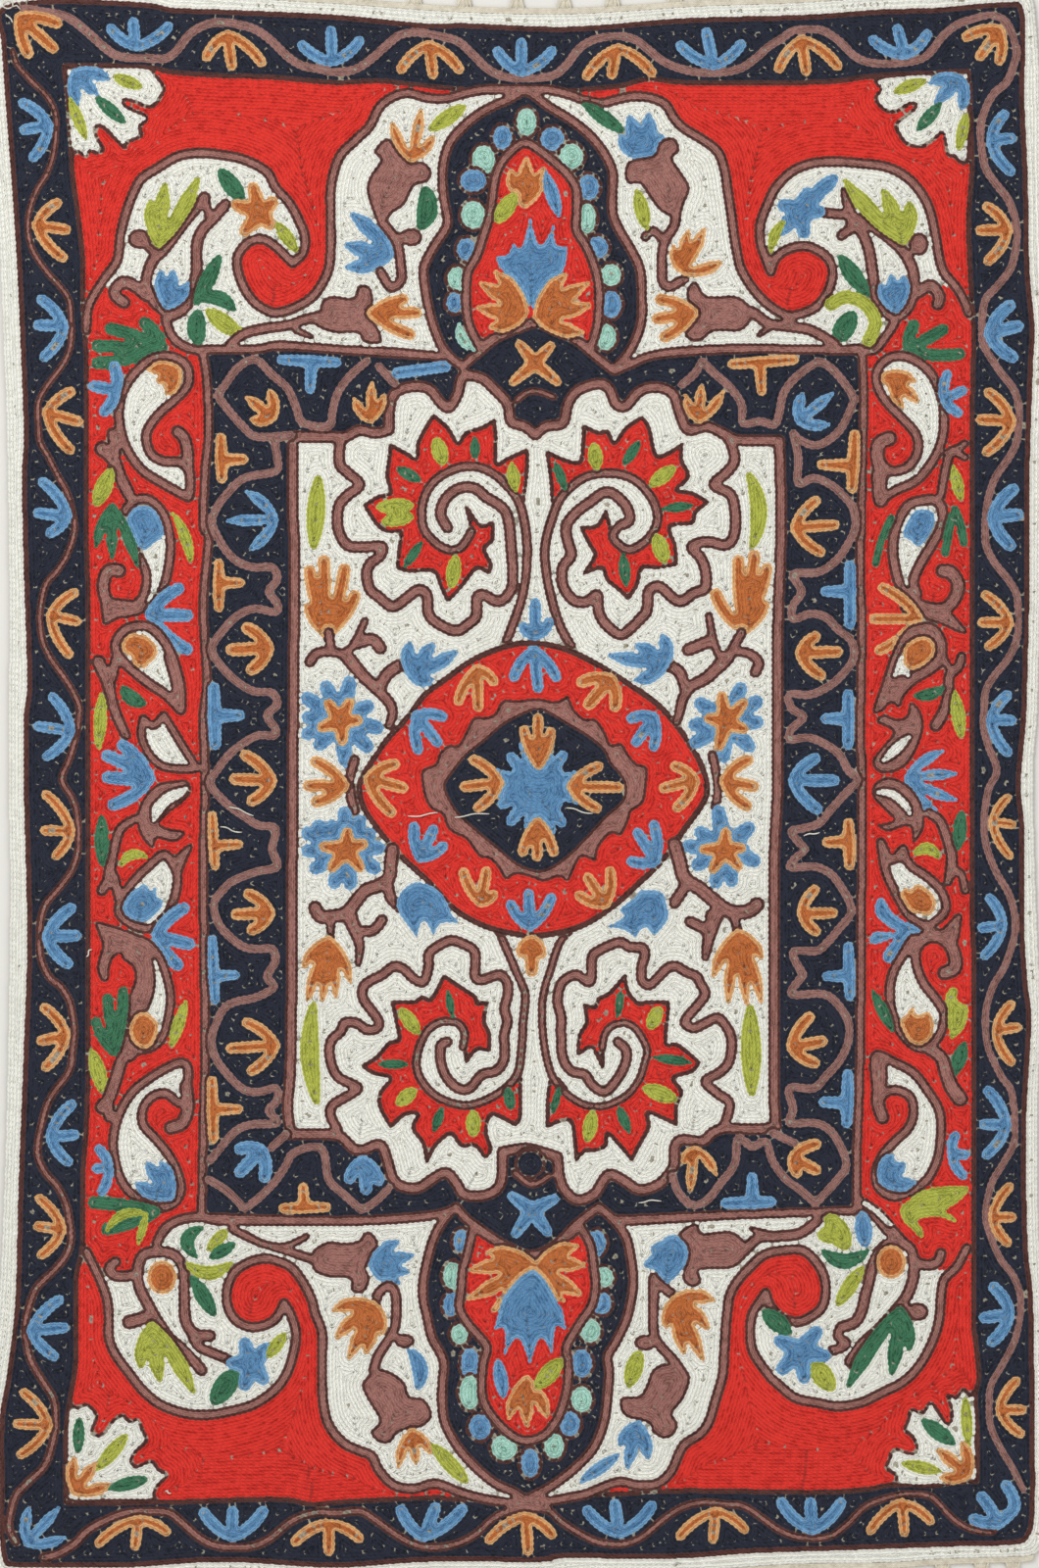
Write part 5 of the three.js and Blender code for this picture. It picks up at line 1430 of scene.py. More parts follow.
    @staticmethod
    def _space(line: np.ndarray, closed: bool, step: float) -> Optional[np.ndarray]:
        """Spaces points evenly along a line.

        Args:
            line: The line in mm.
            closed: True where it closes.
            step: The spacing wanted, in mm.

        Returns:
            The points, or None where the line is too short for a stitch.
        """
        ring = np.vstack([line, line[:1]]) if closed else line
        run = np.concatenate([[0], np.cumsum(np.hypot(*np.diff(ring, axis=0).T))])
        if run[-1] < 1.4 * step:
            return None
        count = max(2, 2 * round(run[-1] / step / 2))
        at = np.linspace(0, run[-1], count + 1)
        if closed:
            at = at[:-1]
        return np.stack([np.interp(at, run, ring[:, 0]), np.interp(at, run, ring[:, 1])], axis=1)

    def _cell(self, point: np.ndarray) -> tuple[int, int]:
        """Finds the cell under a point."""
        i = int((point[1] - self.chart.foot) / Chart.CELL)
        j = int((point[0] - self.chart.left) / Chart.CELL)
        return min(max(i, 0), self.chart.rows - 1), min(max(j, 0), self.chart.columns - 1)

    def _fill_bare(self, made: Rows) -> None:
        """Puts short rows of stitches wherever the cloth still shows.

        Args:
            made: The rows so far; the fillings are added to it.
        """
        label = self.chart.yarn
        covered = np.zeros(label.shape, bool)
        for line, pitch, closed in zip(made.line, made.pitch, made.closed):
            self._cover(covered, line, pitch * 0.5, closed)
        gy, gx = np.gradient(self.depth)
        txx, tyy, txy = self._blur(gx * gx), self._blur(gy * gy), self._blur(gx * gy)
        angle = 0.5 * np.arctan2(2 * txy, txx - tyy) + math.pi / 2
        bare = np.argwhere(~covered & (self.depth > 0.3))
        bare = bare[self.rng.permutation(len(bare))]
        bare = bare[np.argsort(-self.depth[bare[:, 0], bare[:, 1]], kind="stable")]
        for i, j in bare.tolist():
            if covered[i, j] or covered[i - 1 : i + 2, j - 1 : j + 2].sum() > 5:
                continue
            here = int(label[i, j])
            trail = self._walk(i, j, angle, covered, here)
            if trail is None:
                covered[i, j] = True
                continue
            pitch = float(self.pitch[here])
            yarn = int(self.outer[here] if self.depth[i, j] < pitch * 0.75 else here)
            self._cover(covered, trail, pitch * 0.55, False)
            made.add(trail, yarn, pitch, False)

    def _walk(
        self, i: int, j: int, angle: np.ndarray, covered: np.ndarray, here: int
    ) -> Optional[np.ndarray]:
        """Follows a bare strip both ways from one cell.

        Args:
            i: The cell's row.
            j: The cell's column.
            angle: The direction of the rows at each cell.
            covered: Cells that stitches already cover.
            here: The yarn's number.

        Returns:
            The short row, or None where there is no room for a stitch.
        """
        cell = Chart.CELL
        start = np.array([self.chart.left + (j + 0.5) * cell, self.chart.foot + (i + 0.5) * cell])
        halves = []
        for way in (1.0, -1.0):
            point, trail = start.copy(), []
            heading = angle[i, j]
            direction = way * np.array([math.cos(heading), math.sin(heading)])
            for _ in range(self.STRIDES):
                step = point + direction * self.STRIDE
                cell = self._cell(step)
                if covered[cell] or self.chart.yarn[cell] != here:
                    break
                turn = angle[cell]
                ahead = np.array([math.cos(turn), math.sin(turn)])
                if ahead @ direction < 0:
                    ahead = -ahead
                direction = direction * 0.6 + ahead * 0.4
                direction /= np.hypot(*direction)
                point = step
                trail.append(point)
            halves.append(trail)
        line = np.array(halves[1][::-1] + [start] + halves[0])
        if len(line) < 3:
            heading = angle[i, j]
            along = np.array([math.cos(heading), math.sin(heading)])
            line = np.array([start - along * self.SHORTEST, start, start + along * self.SHORTEST])
        return self._space(line, False, self.STITCH / 2)

    def _cover(self, covered: np.ndarray, line: np.ndarray, half: float, closed: bool) -> None:
        """Marks the cells under one row.

        Args:
            covered: The cells, changed here.
            line: The row's points, in mm.
            half: Half of the row's width, in mm.
            closed: True where the row closes.
        """
        ring = np.vstack([line, line[:1]]) if closed else line
        t = np.linspace(0, 1, 5)[:-1, None, None]
        points = (ring[:-1] * (1 - t) + ring[1:] * t).reshape(-1, 2)
        points = np.vstack([points, ring[-1:]])
        column = (points[:, 0] - self.chart.left) / Chart.CELL
        row = (points[:, 1] - self.chart.foot) / Chart.CELL
        reach = half / Chart.CELL
        for di in range(-2, 3):
            for dj in range(-2, 3):
                i = np.floor(row).astype(int) + di
                j = np.floor(column).astype(int) + dj
                near = np.hypot(i + 0.5 - row, j + 0.5 - column) <= reach
                near &= (i >= 0) & (i < self.chart.rows) & (j >= 0) & (j < self.chart.columns)
                covered[i[near], j[near]] = True

    def _blur(self, values: np.ndarray) -> np.ndarray:
        """Spreads values over their neighbours, so that a direction is steady across a strip."""
        wide = self.BLUR
        for axis in (0, 1):
            total = np.cumsum(values, axis=axis, dtype=np.float64)
            ahead = np.roll(total, -wide // 2 + 1, axis=axis)
            behind = np.roll(total, wide // 2 + 1, axis=axis)
            values = ((ahead - behind) / wide).astype(np.float32)
        return values


def node(
    tree: bpy.types.NodeTree, kind: str, settings: Optional[dict] = None, **links: object
) -> bpy.types.Node:
    """Adds a shader node.

    Args:
        tree: The material's node tree.
        kind: The node's type, without the ShaderNode at its front.
        settings: Properties of the node, by name.
        links: Values or output sockets for its inputs, by name, or by i and a number.

    Returns:
        The node.
    """
    made = tree.nodes.new("ShaderNode" + kind)
    for name, value in (settings or {}).items():
        setattr(made, name, value)
    for name, value in links.items():
        key = int(name[1:]) if name[0] == "i" and name[1:].isdigit() else name.replace("_", " ")
        socket = made.inputs[key]
        if isinstance(value, bpy.types.NodeSocket):
            tree.links.new(value, socket)
        else:
            socket.default_value = value
    return made


@dataclass(frozen=True)
class ChainWool:
    """Two-ply crewel wool in chain stitch: matt and fuzzy, each stitch a little lighter or darker.

    colour is the lit colour painted on the crown of a loop, shade the painted shade down between the loops
    and the dark end of each stitch's tone, and spread how much the tone of the stitches varies.
    """

    name: str
    colour: str
    shade: str
    spread: float = 0.7
    roughness: float = 0.92

    def material(self) -> bpy.types.Material:
        """Builds the wool.

        Returns:
            The material, which reads the stitches from the row's own UV map.
        """
        made = bpy.data.materials.new(self.name)
        made.use_nodes = True
        tree = made.node_tree
        shader = tree.nodes["Principled BSDF"]
        stitch = node(tree, "UVMap", {"uv_map": "Stitch"}).outputs["UV"]
        split = node(tree, "SeparateXYZ", Vector=stitch).outputs
        tone = node(tree, "Attribute", {"attribute_name": "tone"}).outputs["Fac"]
        within = node(tree, "Math", {"operation": "FRACT"}, i0=split["X"]).outputs[0]
        # The two legs of each loop open from its foot. The gap between them is painted in the shade colour, a
        # line of painted shade down the middle of the row, and the legs' ridges are painted lighter.
        across = node(tree, "Math", {"operation": "SUBTRACT"}, i0=split["Y"], i1=0.5).outputs[0]
        away = node(tree, "Math", {"operation": "ABSOLUTE"}, i0=across).outputs[0]
        turn = node(tree, "Math", {"operation": "MULTIPLY"}, i0=within, i1=math.pi).outputs[0]
        swell = node(tree, "Math", {"operation": "SINE"}, i0=turn).outputs[0]
        leg = node(tree, "Math", {"operation": "MULTIPLY_ADD"}, i0=swell, i1=0.14, i2=0.14).outputs[0]
        off = node(tree, "Math", {"operation": "SUBTRACT"}, i0=away, i1=leg).outputs[0]
        gap = node(tree, "Math", {"operation": "ABSOLUTE"}, i0=off).outputs[0]
        ridge = node(
            tree, "MapRange", {"interpolation_type": "SMOOTHSTEP"},
            Value=gap, From_Min=0.02, From_Max=0.24, To_Min=1.0, To_Max=0.0,
        ).outputs[0]
        # Fibres lie along the yarn: fine, uneven streaks.
        place = node(tree, "TexCoord").outputs["Object"]
        fibre = node(
            tree, "TexNoise", None, Vector=place, Scale=1400.0, Detail=3.0, Roughness=0.65
        ).outputs["Fac"]
        fuzz = node(tree, "TexNoise", None, Vector=place, Scale=90.0, Detail=2.0).outputs["Fac"]
        # Painted light and shade: the ridges are lifted towards the lit colour and the gaps stay in the shade
        # colour. Each stitch's random tone, the fibre streaks and the fuzz are added on top.
        lift = node(tree, "Math", {"operation": "MULTIPLY_ADD"}, i0=ridge, i1=0.55, i2=0.0).outputs[0]
        tone_and_painted_ridge_light = node(tree, "Math", {"operation": "MULTIPLY_ADD"}, i0=tone, i1=self.spread, i2=lift).outputs[0]
        grain = node(tree, "Math", {"operation": "MULTIPLY_ADD"}, i0=fibre, i1=0.35, i2=tone_and_painted_ridge_light).outputs[0]
        fuzz_tone_and_painted_ridge_light = node(tree, "Math", {"operation": "MULTIPLY_ADD"}, i0=fuzz, i1=0.25, i2=grain).outputs[0]
        level = node(tree, "MapRange", None, Value=fuzz_tone_and_painted_ridge_light, From_Min=0.22, From_Max=1.12).outputs[0]
        mix = node(
            tree, "Mix", {"data_type": "RGBA"}, i0=level, i6=linear(self.shade), i7=linear(self.colour)
        ).outputs[2]
        tree.links.new(mix, shader.inputs["Base Color"])
        shader.inputs["Roughness"].default_value = self.roughness
        shader.inputs["Sheen Weight"].default_value = 0.12
        shader.inputs["Specular IOR Level"].default_value = 0.2
        height = node(tree, "Math", {"operation": "MULTIPLY_ADD"}, i0=fibre, i1=0.25, i2=ridge).outputs[0]
        bump = node(tree, "Bump", None, Strength=0.8, Distance=0.0008, Height=height).outputs["Normal"]
        tree.links.new(bump, shader.inputs["Normal"])
        return made


@dataclass(frozen=True)
class CottonCloth:
    """Plain woven cotton: a fine over-and-under grain, matt and slightly yellowed."""

    name: str
    colour: str
    shade: str
    thread_mm: float = 0.9

    def material(self) -> bpy.types.Material:
        """Builds the cloth."""
        made = bpy.data.materials.new(self.name)
        made.use_nodes = True
        tree = made.node_tree
        shader = tree.nodes["Principled BSDF"]
        place = node(tree, "TexCoord").outputs["Object"]
        split = node(tree, "SeparateXYZ", Vector=place).outputs
        beat = 2 * math.pi / (self.thread_mm * MM)
        waves = []
        for axis in ("X", "Y"):
            phase = node(tree, "Math", {"operation": "MULTIPLY"}, i0=split[axis], i1=beat).outputs[0]
            waves.append(node(tree, "Math", {"operation": "SINE"}, i0=phase).outputs[0])
        weave = node(tree, "Math", {"operation": "MULTIPLY"}, i0=waves[0], i1=waves[1]).outputs[0]
        slub = node(
            tree, "TexNoise", None, Vector=place, Scale=260.0, Detail=4.0, Roughness=0.7
        ).outputs["Fac"]
        level = node(tree, "Math", {"operation": "MULTIPLY_ADD"}, i0=weave, i1=0.16, i2=slub).outputs[0]
        clear = node(tree, "MapRange", None, Value=level, From_Min=0.2, From_Max=0.75).outputs[0]
        mix = node(
            tree, "Mix", {"data_type": "RGBA"}, i0=clear, i6=linear(self.shade), i7=linear(self.colour)
        ).outputs[2]
        tree.links.new(mix, shader.inputs["Base Color"])
        shader.inputs["Roughness"].default_value = 0.9
        shader.inputs["Specular IOR Level"].default_value = 0.2
        bump = node(tree, "Bump", None, Strength=0.35, Distance=0.0003, Height=level).outputs["Normal"]
        tree.links.new(bump, shader.inputs["Normal"])
        return made


def mesh_piece(
    name: str,
    verts: np.ndarray,
    faces: np.ndarray,
    stitch: Optional[np.ndarray] = None,
    tone: Optional[np.ndarray] = None,
    smooth: bool = True,
) -> bpy.types.Object:
    """Makes one piece from arrays, with a flat map from above for its own picture.

    Args:
        name: The piece's name.
        verts: Its points, in metres.
        faces: Four or three points to each face.
        stitch: The stitch coordinates of each point.
        tone: How light each point's yarn is, from 0 to 1.
        smooth: True for soft shading.

    Returns:
        The object, linked to the scene.
    """
    size = faces.shape[1]
    mesh = bpy.data.meshes.new(name)
    mesh.vertices.add(len(verts))
    mesh.vertices.foreach_set("co", verts.astype(np.float32).ravel())
    mesh.loops.add(faces.size)
    mesh.loops.foreach_set("vertex_index", faces.astype(np.int32).ravel())
    mesh.polygons.add(len(faces))
    mesh.polygons.foreach_set("loop_start", (np.arange(len(faces)) * size).astype(np.int32))
    mesh.polygons.foreach_set("loop_total", np.full(len(faces), size, np.int32))
    mesh.update(calc_edges=True)
    mesh.polygons.foreach_set("use_smooth", np.full(len(faces), smooth))
    corners = faces.ravel()
    lo, hi = verts[:, :2].min(axis=0), verts[:, :2].max(axis=0)
    flat = (verts[:, :2] - lo) / np.maximum(hi - lo, 1e-6).max()
    bake = mesh.uv_layers.new(name="OFBake")
    bake.data.foreach_set("uv", flat[corners].astype(np.float32).ravel())
    if stitch is not None:
        layer = mesh.uv_layers.new(name="Stitch")
        layer.data.foreach_set("uv", stitch[corners].astype(np.float32).ravel())
    if tone is not None:
        shade = mesh.attributes.new("tone", "FLOAT", "POINT")
        shade.data.foreach_set("value", tone.astype(np.float32))
    mesh.validate()
    made = bpy.data.objects.new(name, mesh)
    bpy.context.scene.collection.objects.link(made)
    return made


@dataclass
class RowMesh:
    """Turns rows of stitches into ribbons that swell and narrow with each loop.

    base is the height of a ribbon's edges and height how far its ridge stands above them, in mm. half is
    half of its width as a share of the row's, and swell how far that varies within a stitch.
    """

    base: float
    height: float
    half: float = 0.8
    swell: float = 0.12
    rng: np.random.Generator = field(default_factory=lambda: np.random.default_rng(5))

    def build(
        self, name: str, lines: list[np.ndarray], pitch: list[float], closed: list[bool]
    ) -> bpy.types.Object:
        """Builds one piece from many rows.

        Args:
            name: The piece's name.
            lines: The points of each row, in mm, two to a stitch.
            pitch: The width of each row, in mm.
            closed: True for each row that closes.

        Returns:
            The piece.
        """
        points, tangent, along, width, shade = [], [], [], [], []
        quads = []
        start = 0
        for line, wide, ring in zip(lines, pitch, closed):
            count = len(line)
            if ring:
                way = np.roll(line, -1, axis=0) - np.roll(line, 1, axis=0)
            else:
                way = np.gradient(line, axis=0)
            way /= np.maximum(np.hypot(way[:, 0], way[:, 1]), 1e-9)[:, None]
            index = np.arange(count)
            points.append(line)
            tangent.append(way)
            along.append(index / 2)
            beat = np.where(index % 2 == 1, 1 + self.swell, 1 - self.swell)
            width.append(wide * self.half * beat)
            tones = self.rng.random((count + 1) // 2 + 1)
            shade.append(tones[(index + 1) // 2])
            first = start + index[: count if ring else count - 1]
            second = start + (index[: len(first)] + 1) % count
            for a, b in ((0, 1), (1, 2)):
                quads.append(np.stack([first * 3 + a, second * 3 + a, second * 3 + b, first * 3 + b], axis=1))
            start += count
        p, t = np.vstack(points), np.vstack(tangent)
        w, u, tone = np.concatenate(width), np.concatenate(along), np.concatenate(shade)
        side = np.stack([t[:, 1], -t[:, 0]], axis=1)
        n = len(p)
        lift = self.height * (0.86 + 0.28 * self.rng.random(n)) * np.where((u * 2) % 2 == 1, 1.0, 0.72)
        verts = np.empty((n, 3, 3))
        for k, (out, high) in enumerate(((-1.0, 0.0), (0.0, 1.0), (1.0, 0.0))):
            verts[:, k, :2] = p + side * (w * out)[:, None]
            verts[:, k, 2] = self.base + lift * high
        stitch = np.empty((n, 3, 2))
        stitch[:, :, 0] = u[:, None]
        stitch[:, :, 1] = np.array([0.0, 0.5, 1.0])
        return mesh_piece(
            name,
            verts.reshape(-1, 3) * MM,
            np.vstack(quads)[:, ::-1],
            stitch.reshape(-1, 2),
            np.repeat(tone, 3),
        )


def outline_of(node_name: str) -> np.ndarray:
    """Reads the outline of a flat CAD piece, seen from above.

    Args:
        node_name: The CAD node.

    Returns:
        The closed outline in mm, anticlockwise.
    """
    shape = bpy.data.objects[node_name]
    place = shape.matrix_world
    points = np.array([tuple(place @ v.co) for v in shape.data.vertices])[:, :2] / MM
    points = np.unique(np.round(points, 2), axis=0)
    middle = (points.min(axis=0) + points.max(axis=0)) / 2
    turn = np.arctan2(points[:, 1] - middle[1], points[:, 0] - middle[0])
    return points[np.argsort(turn)]


def slab(name: str, outline: np.ndarray, low: float, high: float, inset: float) -> bpy.types.Object:
    """Makes a thin closed sheet with a rounded edge.

    Args:
        name: The piece's name.
        outline: The closed outline, in mm.
        low: The height of its underside, in mm.
        high: The height of its top, in mm.
        inset: How far the top edge is drawn in, in mm.

    Returns:
        The piece.
    """
    middle = outline.mean(axis=0)
    away = outline - middle
    inner = middle + away * (1 - inset / np.abs(away).max(axis=0))
    rings = (
        (inner, low),
        (outline, low * 0.6 + high * 0.4),
        (outline, low * 0.3 + high * 0.7),
        (inner, high),
    )
    n = len(outline)
    verts = [np.column_stack([ring, np.full(n, z)]) for ring, z in rings]
    verts += [np.array([[*middle, low]]), np.array([[*middle, high]])]
    index = np.arange(n)
    after = (index + 1) % n
    faces = []
    for k in range(len(rings) - 1):
        a, b = k * n, (k + 1) * n
        faces.append(np.stack([a + index, a + after, b + after], axis=1))
        faces.append(np.stack([a + index, b + after, b + index], axis=1))
    top, bottom = (len(rings) - 1) * n, len(rings) * n
    faces.append(np.stack([index, np.full(n, bottom), after], axis=1))
    faces.append(np.stack([top + index, top + after, np.full(n, bottom + 1)], axis=1))
    return mesh_piece(name, np.vstack(verts) * MM, np.vstack(faces), smooth=False)


def tubes(name: str, lines: list[np.ndarray], radius: float, sides: int = 6) -> bpy.types.Object:
    """Makes round strands along lines, closed at both ends.

    Args:
        name: The piece's name.
        lines: The middle line of each strand, in mm, each point with x, y and z.
        radius: The strands' radius, in mm.
        sides: How many sides a strand has.

    Returns:
        The piece.
    """
    turn = np.linspace(0, 2 * math.pi, sides, endpoint=False)
    verts, faces = [], []
    start = 0
    for line in lines:
        way = np.gradient(line, axis=0)
        way /= np.linalg.norm(way, axis=1)[:, None]
        side = np.cross(way, (0.0, 0.0, 1.0))
        side /= np.maximum(np.linalg.norm(side, axis=1), 1e-9)[:, None]
        up = np.cross(side, way)
        count = len(line)
        thick = radius * np.clip(np.minimum(np.arange(count) + 0.6, count - np.arange(count) - 0.4), 0.3, 1)
        around = side[:, None] * np.cos(turn)[None, :, None] + up[:, None] * np.sin(turn)[None, :, None]
        ring = line[:, None] + around * thick[:, None, None]
        verts += [ring.reshape(-1, 3), line[:1], line[-1:]]
        k, j = np.meshgrid(np.arange(count - 1), np.arange(sides), indexing="ij")
        a = start + k * sides + j
        b = start + k * sides + (j + 1) % sides
        faces.append(np.stack([a, b, b + sides], axis=-1).reshape(-1, 3))
        faces.append(np.stack([a, b + sides, a + sides], axis=-1).reshape(-1, 3))
        j = np.arange(sides)
        first, last = start + count * sides, start + count * sides + 1
        faces.append(np.stack([start + (j + 1) % sides, start + j, np.full(sides, first)], axis=1))
        end = start + (count - 1) * sides
        faces.append(np.stack([end + j, end + (j + 1) % sides, np.full(sides, last)], axis=1))
        start += count * sides + 2
    return mesh_piece(name, np.vstack(verts) * MM, np.vstack(faces))


# Two-ply crewel wool, dyed in the skein. Each yarn has its lit colour on the crowns of its loops and its
# shaded colour down between them, so that a plain ground still shows its rows.
WOOLS = {
    Yarn.CREAM: ChainWool("undyed wool, chain stitch", "#fffef4", "#e6e4d8"),
    Yarn.NAVY: ChainWool("navy wool, chain stitch", "#2e3342", "#10131c"),
    Yarn.RED: ChainWool("madder red wool, chain stitch", "#f23e33", "#b31b17"),
    Yarn.BROWN: ChainWool("rosy brown wool, chain stitch", "#b98379", "#75483f"),
    Yarn.DARK_BROWN: ChainWool("dark brown wool, chain stitch", "#6b423c", "#331b1a"),
    Yarn.RUST: ChainWool("rust wool, chain stitch", "#d57c42", "#9a4f22"),
    Yarn.TAN: ChainWool("tan wool, chain stitch", "#f3bc80", "#c28450"),
    Yarn.BLUE: ChainWool("mid blue wool, chain stitch", "#6b9dc8", "#376490"),
    Yarn.LIGHT_BLUE: ChainWool("pale blue wool, chain stitch", "#86b7de", "#4b7eae"),
    Yarn.OLIVE: ChainWool("lime olive wool, chain stitch", "#c4ca58", "#828a2c"),
    Yarn.GREEN: ChainWool("bottle green wool, chain stitch", "#4a8764", "#214c35"),
    Yarn.MINT: ChainWool("mint wool, chain stitch", "#bce9d9", "#74b09a"),
    Yarn.MAUVE: ChainWool("mauve brown wool, chain stitch", "#b0837b", "#6f4842"),
}
# Plain woven cotton under the stitches, seen only as flecks between the rows. Its colour is greyed darker
# than the cotton, as painted shade down in the gaps.
SHADE_GREYED_BACKING_COTTON = CottonCloth("plain woven cotton backing", "#b9b2a1", "#918a79")
# Unbleached cotton, twisted by hand: warm off-white tassels, matt, with a slightly coarser grain.
FRINGE_COTTON = CottonCloth("unbleached cotton fringe", "#e9e2d0", "#b9b09b", 1.1)
# The thread left over from the cream ground: the lightest thing that lies on the dark grounds.
THREAD_COTTON = CottonCloth("loose cotton thread", "#efece0", "#c4c0b2", 1.3)


@dataclass
class BackingCloth:
    """The cotton cloth under the stitches, with its turned edge. Sizes are in mm."""

    outline: np.ndarray
    underside: float = 0.2
    face: float = 2.6
    drawn_in: float = 1.0

    def build(self) -> bpy.types.Object:
        """Builds the cloth in the CAD panel's place."""
        cloth = slab("backing_cloth", self.outline, self.underside, self.face, self.drawn_in)
        # The cloth's greyed colour is painted shade for the gaps between the rows.
        cloth.data.materials.append(SHADE_GREYED_BACKING_COTTON.material())
        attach(cloth, "root")
        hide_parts("stitched_panel")
        return cloth


@dataclass
class StitchedRows:
    """The stitched rows, in pieces of one yarn each. Sizes are in mm."""

    rows: Rows
    foot: float = 2.2
    height: float = 1.9
    most_points: int = 45000

    def build(self) -> list[bpy.types.Object]:
        """Builds every yarn's rows, sorted up the rug and cut where a piece would be too heavy.

        Returns:
            The pieces.
        """
        pieces = []
        for yarn, wool in WOOLS.items():
            chosen = [k for k, worked in enumerate(self.rows.yarn) if worked == yarn.value]
            if not chosen:
                continue
            chosen.sort(key=lambda k: float(self.rows.line[k][:, 1].mean()))
            points = np.cumsum([len(self.rows.line[k]) for k in chosen])
            parts = int(points[-1] // self.most_points) + 1
            share = [min(int(n * parts / (points[-1] + 1)), parts - 1) for n in points]
            material = wool.material()
            for part in range(parts):
                held = [k for k, its_part in zip(chosen, share) if its_part == part]
                pieces.append(self.piece(f"{yarn.name.lower()}_rows_{part + 1}", held, material))
        return pieces

    def piece(self, name: str, held: list[int], wool: bpy.types.Material) -> bpy.types.Object:
        """Builds one piece of stitched rows.

        Args:
            name: The piece's name.
            held: Which of the rows it holds.
            wool: Its yarn.

        Returns:
            The piece.
        """
        piece = RowMesh(self.foot, self.height).build(
            name,
            [self.rows.line[k] for k in held],
            [self.rows.pitch[k] for k in held],
            [self.rows.closed[k] for k in held],
        )
        piece.data.materials.append(wool)
        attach(piece, "root")
        stitches = sum(len(self.rows.line[k]) for k in held) // 2
        LOG.info("%s: %d stitches, %d triangles", piece.name, stitches, 2 * len(piece.data.polygons))
        return piece


@dataclass
class LooseThreads:
    """Loose ends of undyed thread on the dark grounds, and the loop at one corner. Sizes are in mm."""

    radius: float = 0.42
    sides: int = 5
    height: float = 4.3
    wave: float = 0.5
    ends: tuple[Path, ...] = (
        ((72, -243), (85, -242)), ((-35, -19), (-15, -17)), ((30, -14), (45, -17)),
        ((-62, -19), (-45, -17)), ((-171, -25), (-159, -28)), ((-166, -13), (-152, -18)),
        ((-203, -411), (-200, -412)), ((168, -30), (177, -28)), ((-292, 443), (-296, 448)),
        ((-249, -100), (-246, -96)),
    )
    loop_centre: Point = (-294.6, 453.2)
    loop_size: Point = (3.0, 2.4)
    loop_tail: Path = ((-287.0, 450.2), (-289.4, 452.6))
    loop_height: float = 4.35

    def build(self) -> bpy.types.Object:
        """Lays the threads.

        Returns:
            The piece.
        """
        lines = []
        for start, end in self.ends:
            t = np.linspace(0, 1, 9)
            line = np.outer(1 - t, start) + np.outer(t, end)
            line += np.stack([np.sin(t * 7), np.cos(t * 6 + start[0])], axis=1) * self.wave
            lines.append(np.column_stack([line, self.height + 0.2 * np.sin(t * 9)]))
        lines.append(self.loop())
        piece = tubes("loose_threads", lines, self.radius, self.sides)
        piece.data.materials.append(THREAD_COTTON.material())
        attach(piece, "root")
        LOG.info("%s: %d ends, %d triangles", piece.name, len(lines), len(piece.data.polygons))
        return piece

    def loop(self) -> np.ndarray:
        """Lays the loop: nearly a whole turn, with a short tail."""
        turn = np.linspace(-0.6, 5.6, 18)
        (x, y), (across, high) = self.loop_centre, self.loop_size
        loop = np.stack([x + across * np.cos(turn), y + high * np.sin(turn)], axis=1)
        loop = np.vstack([self.loop_tail, loop])
        return np.column_stack([loop, np.full(len(loop), self.loop_height)])


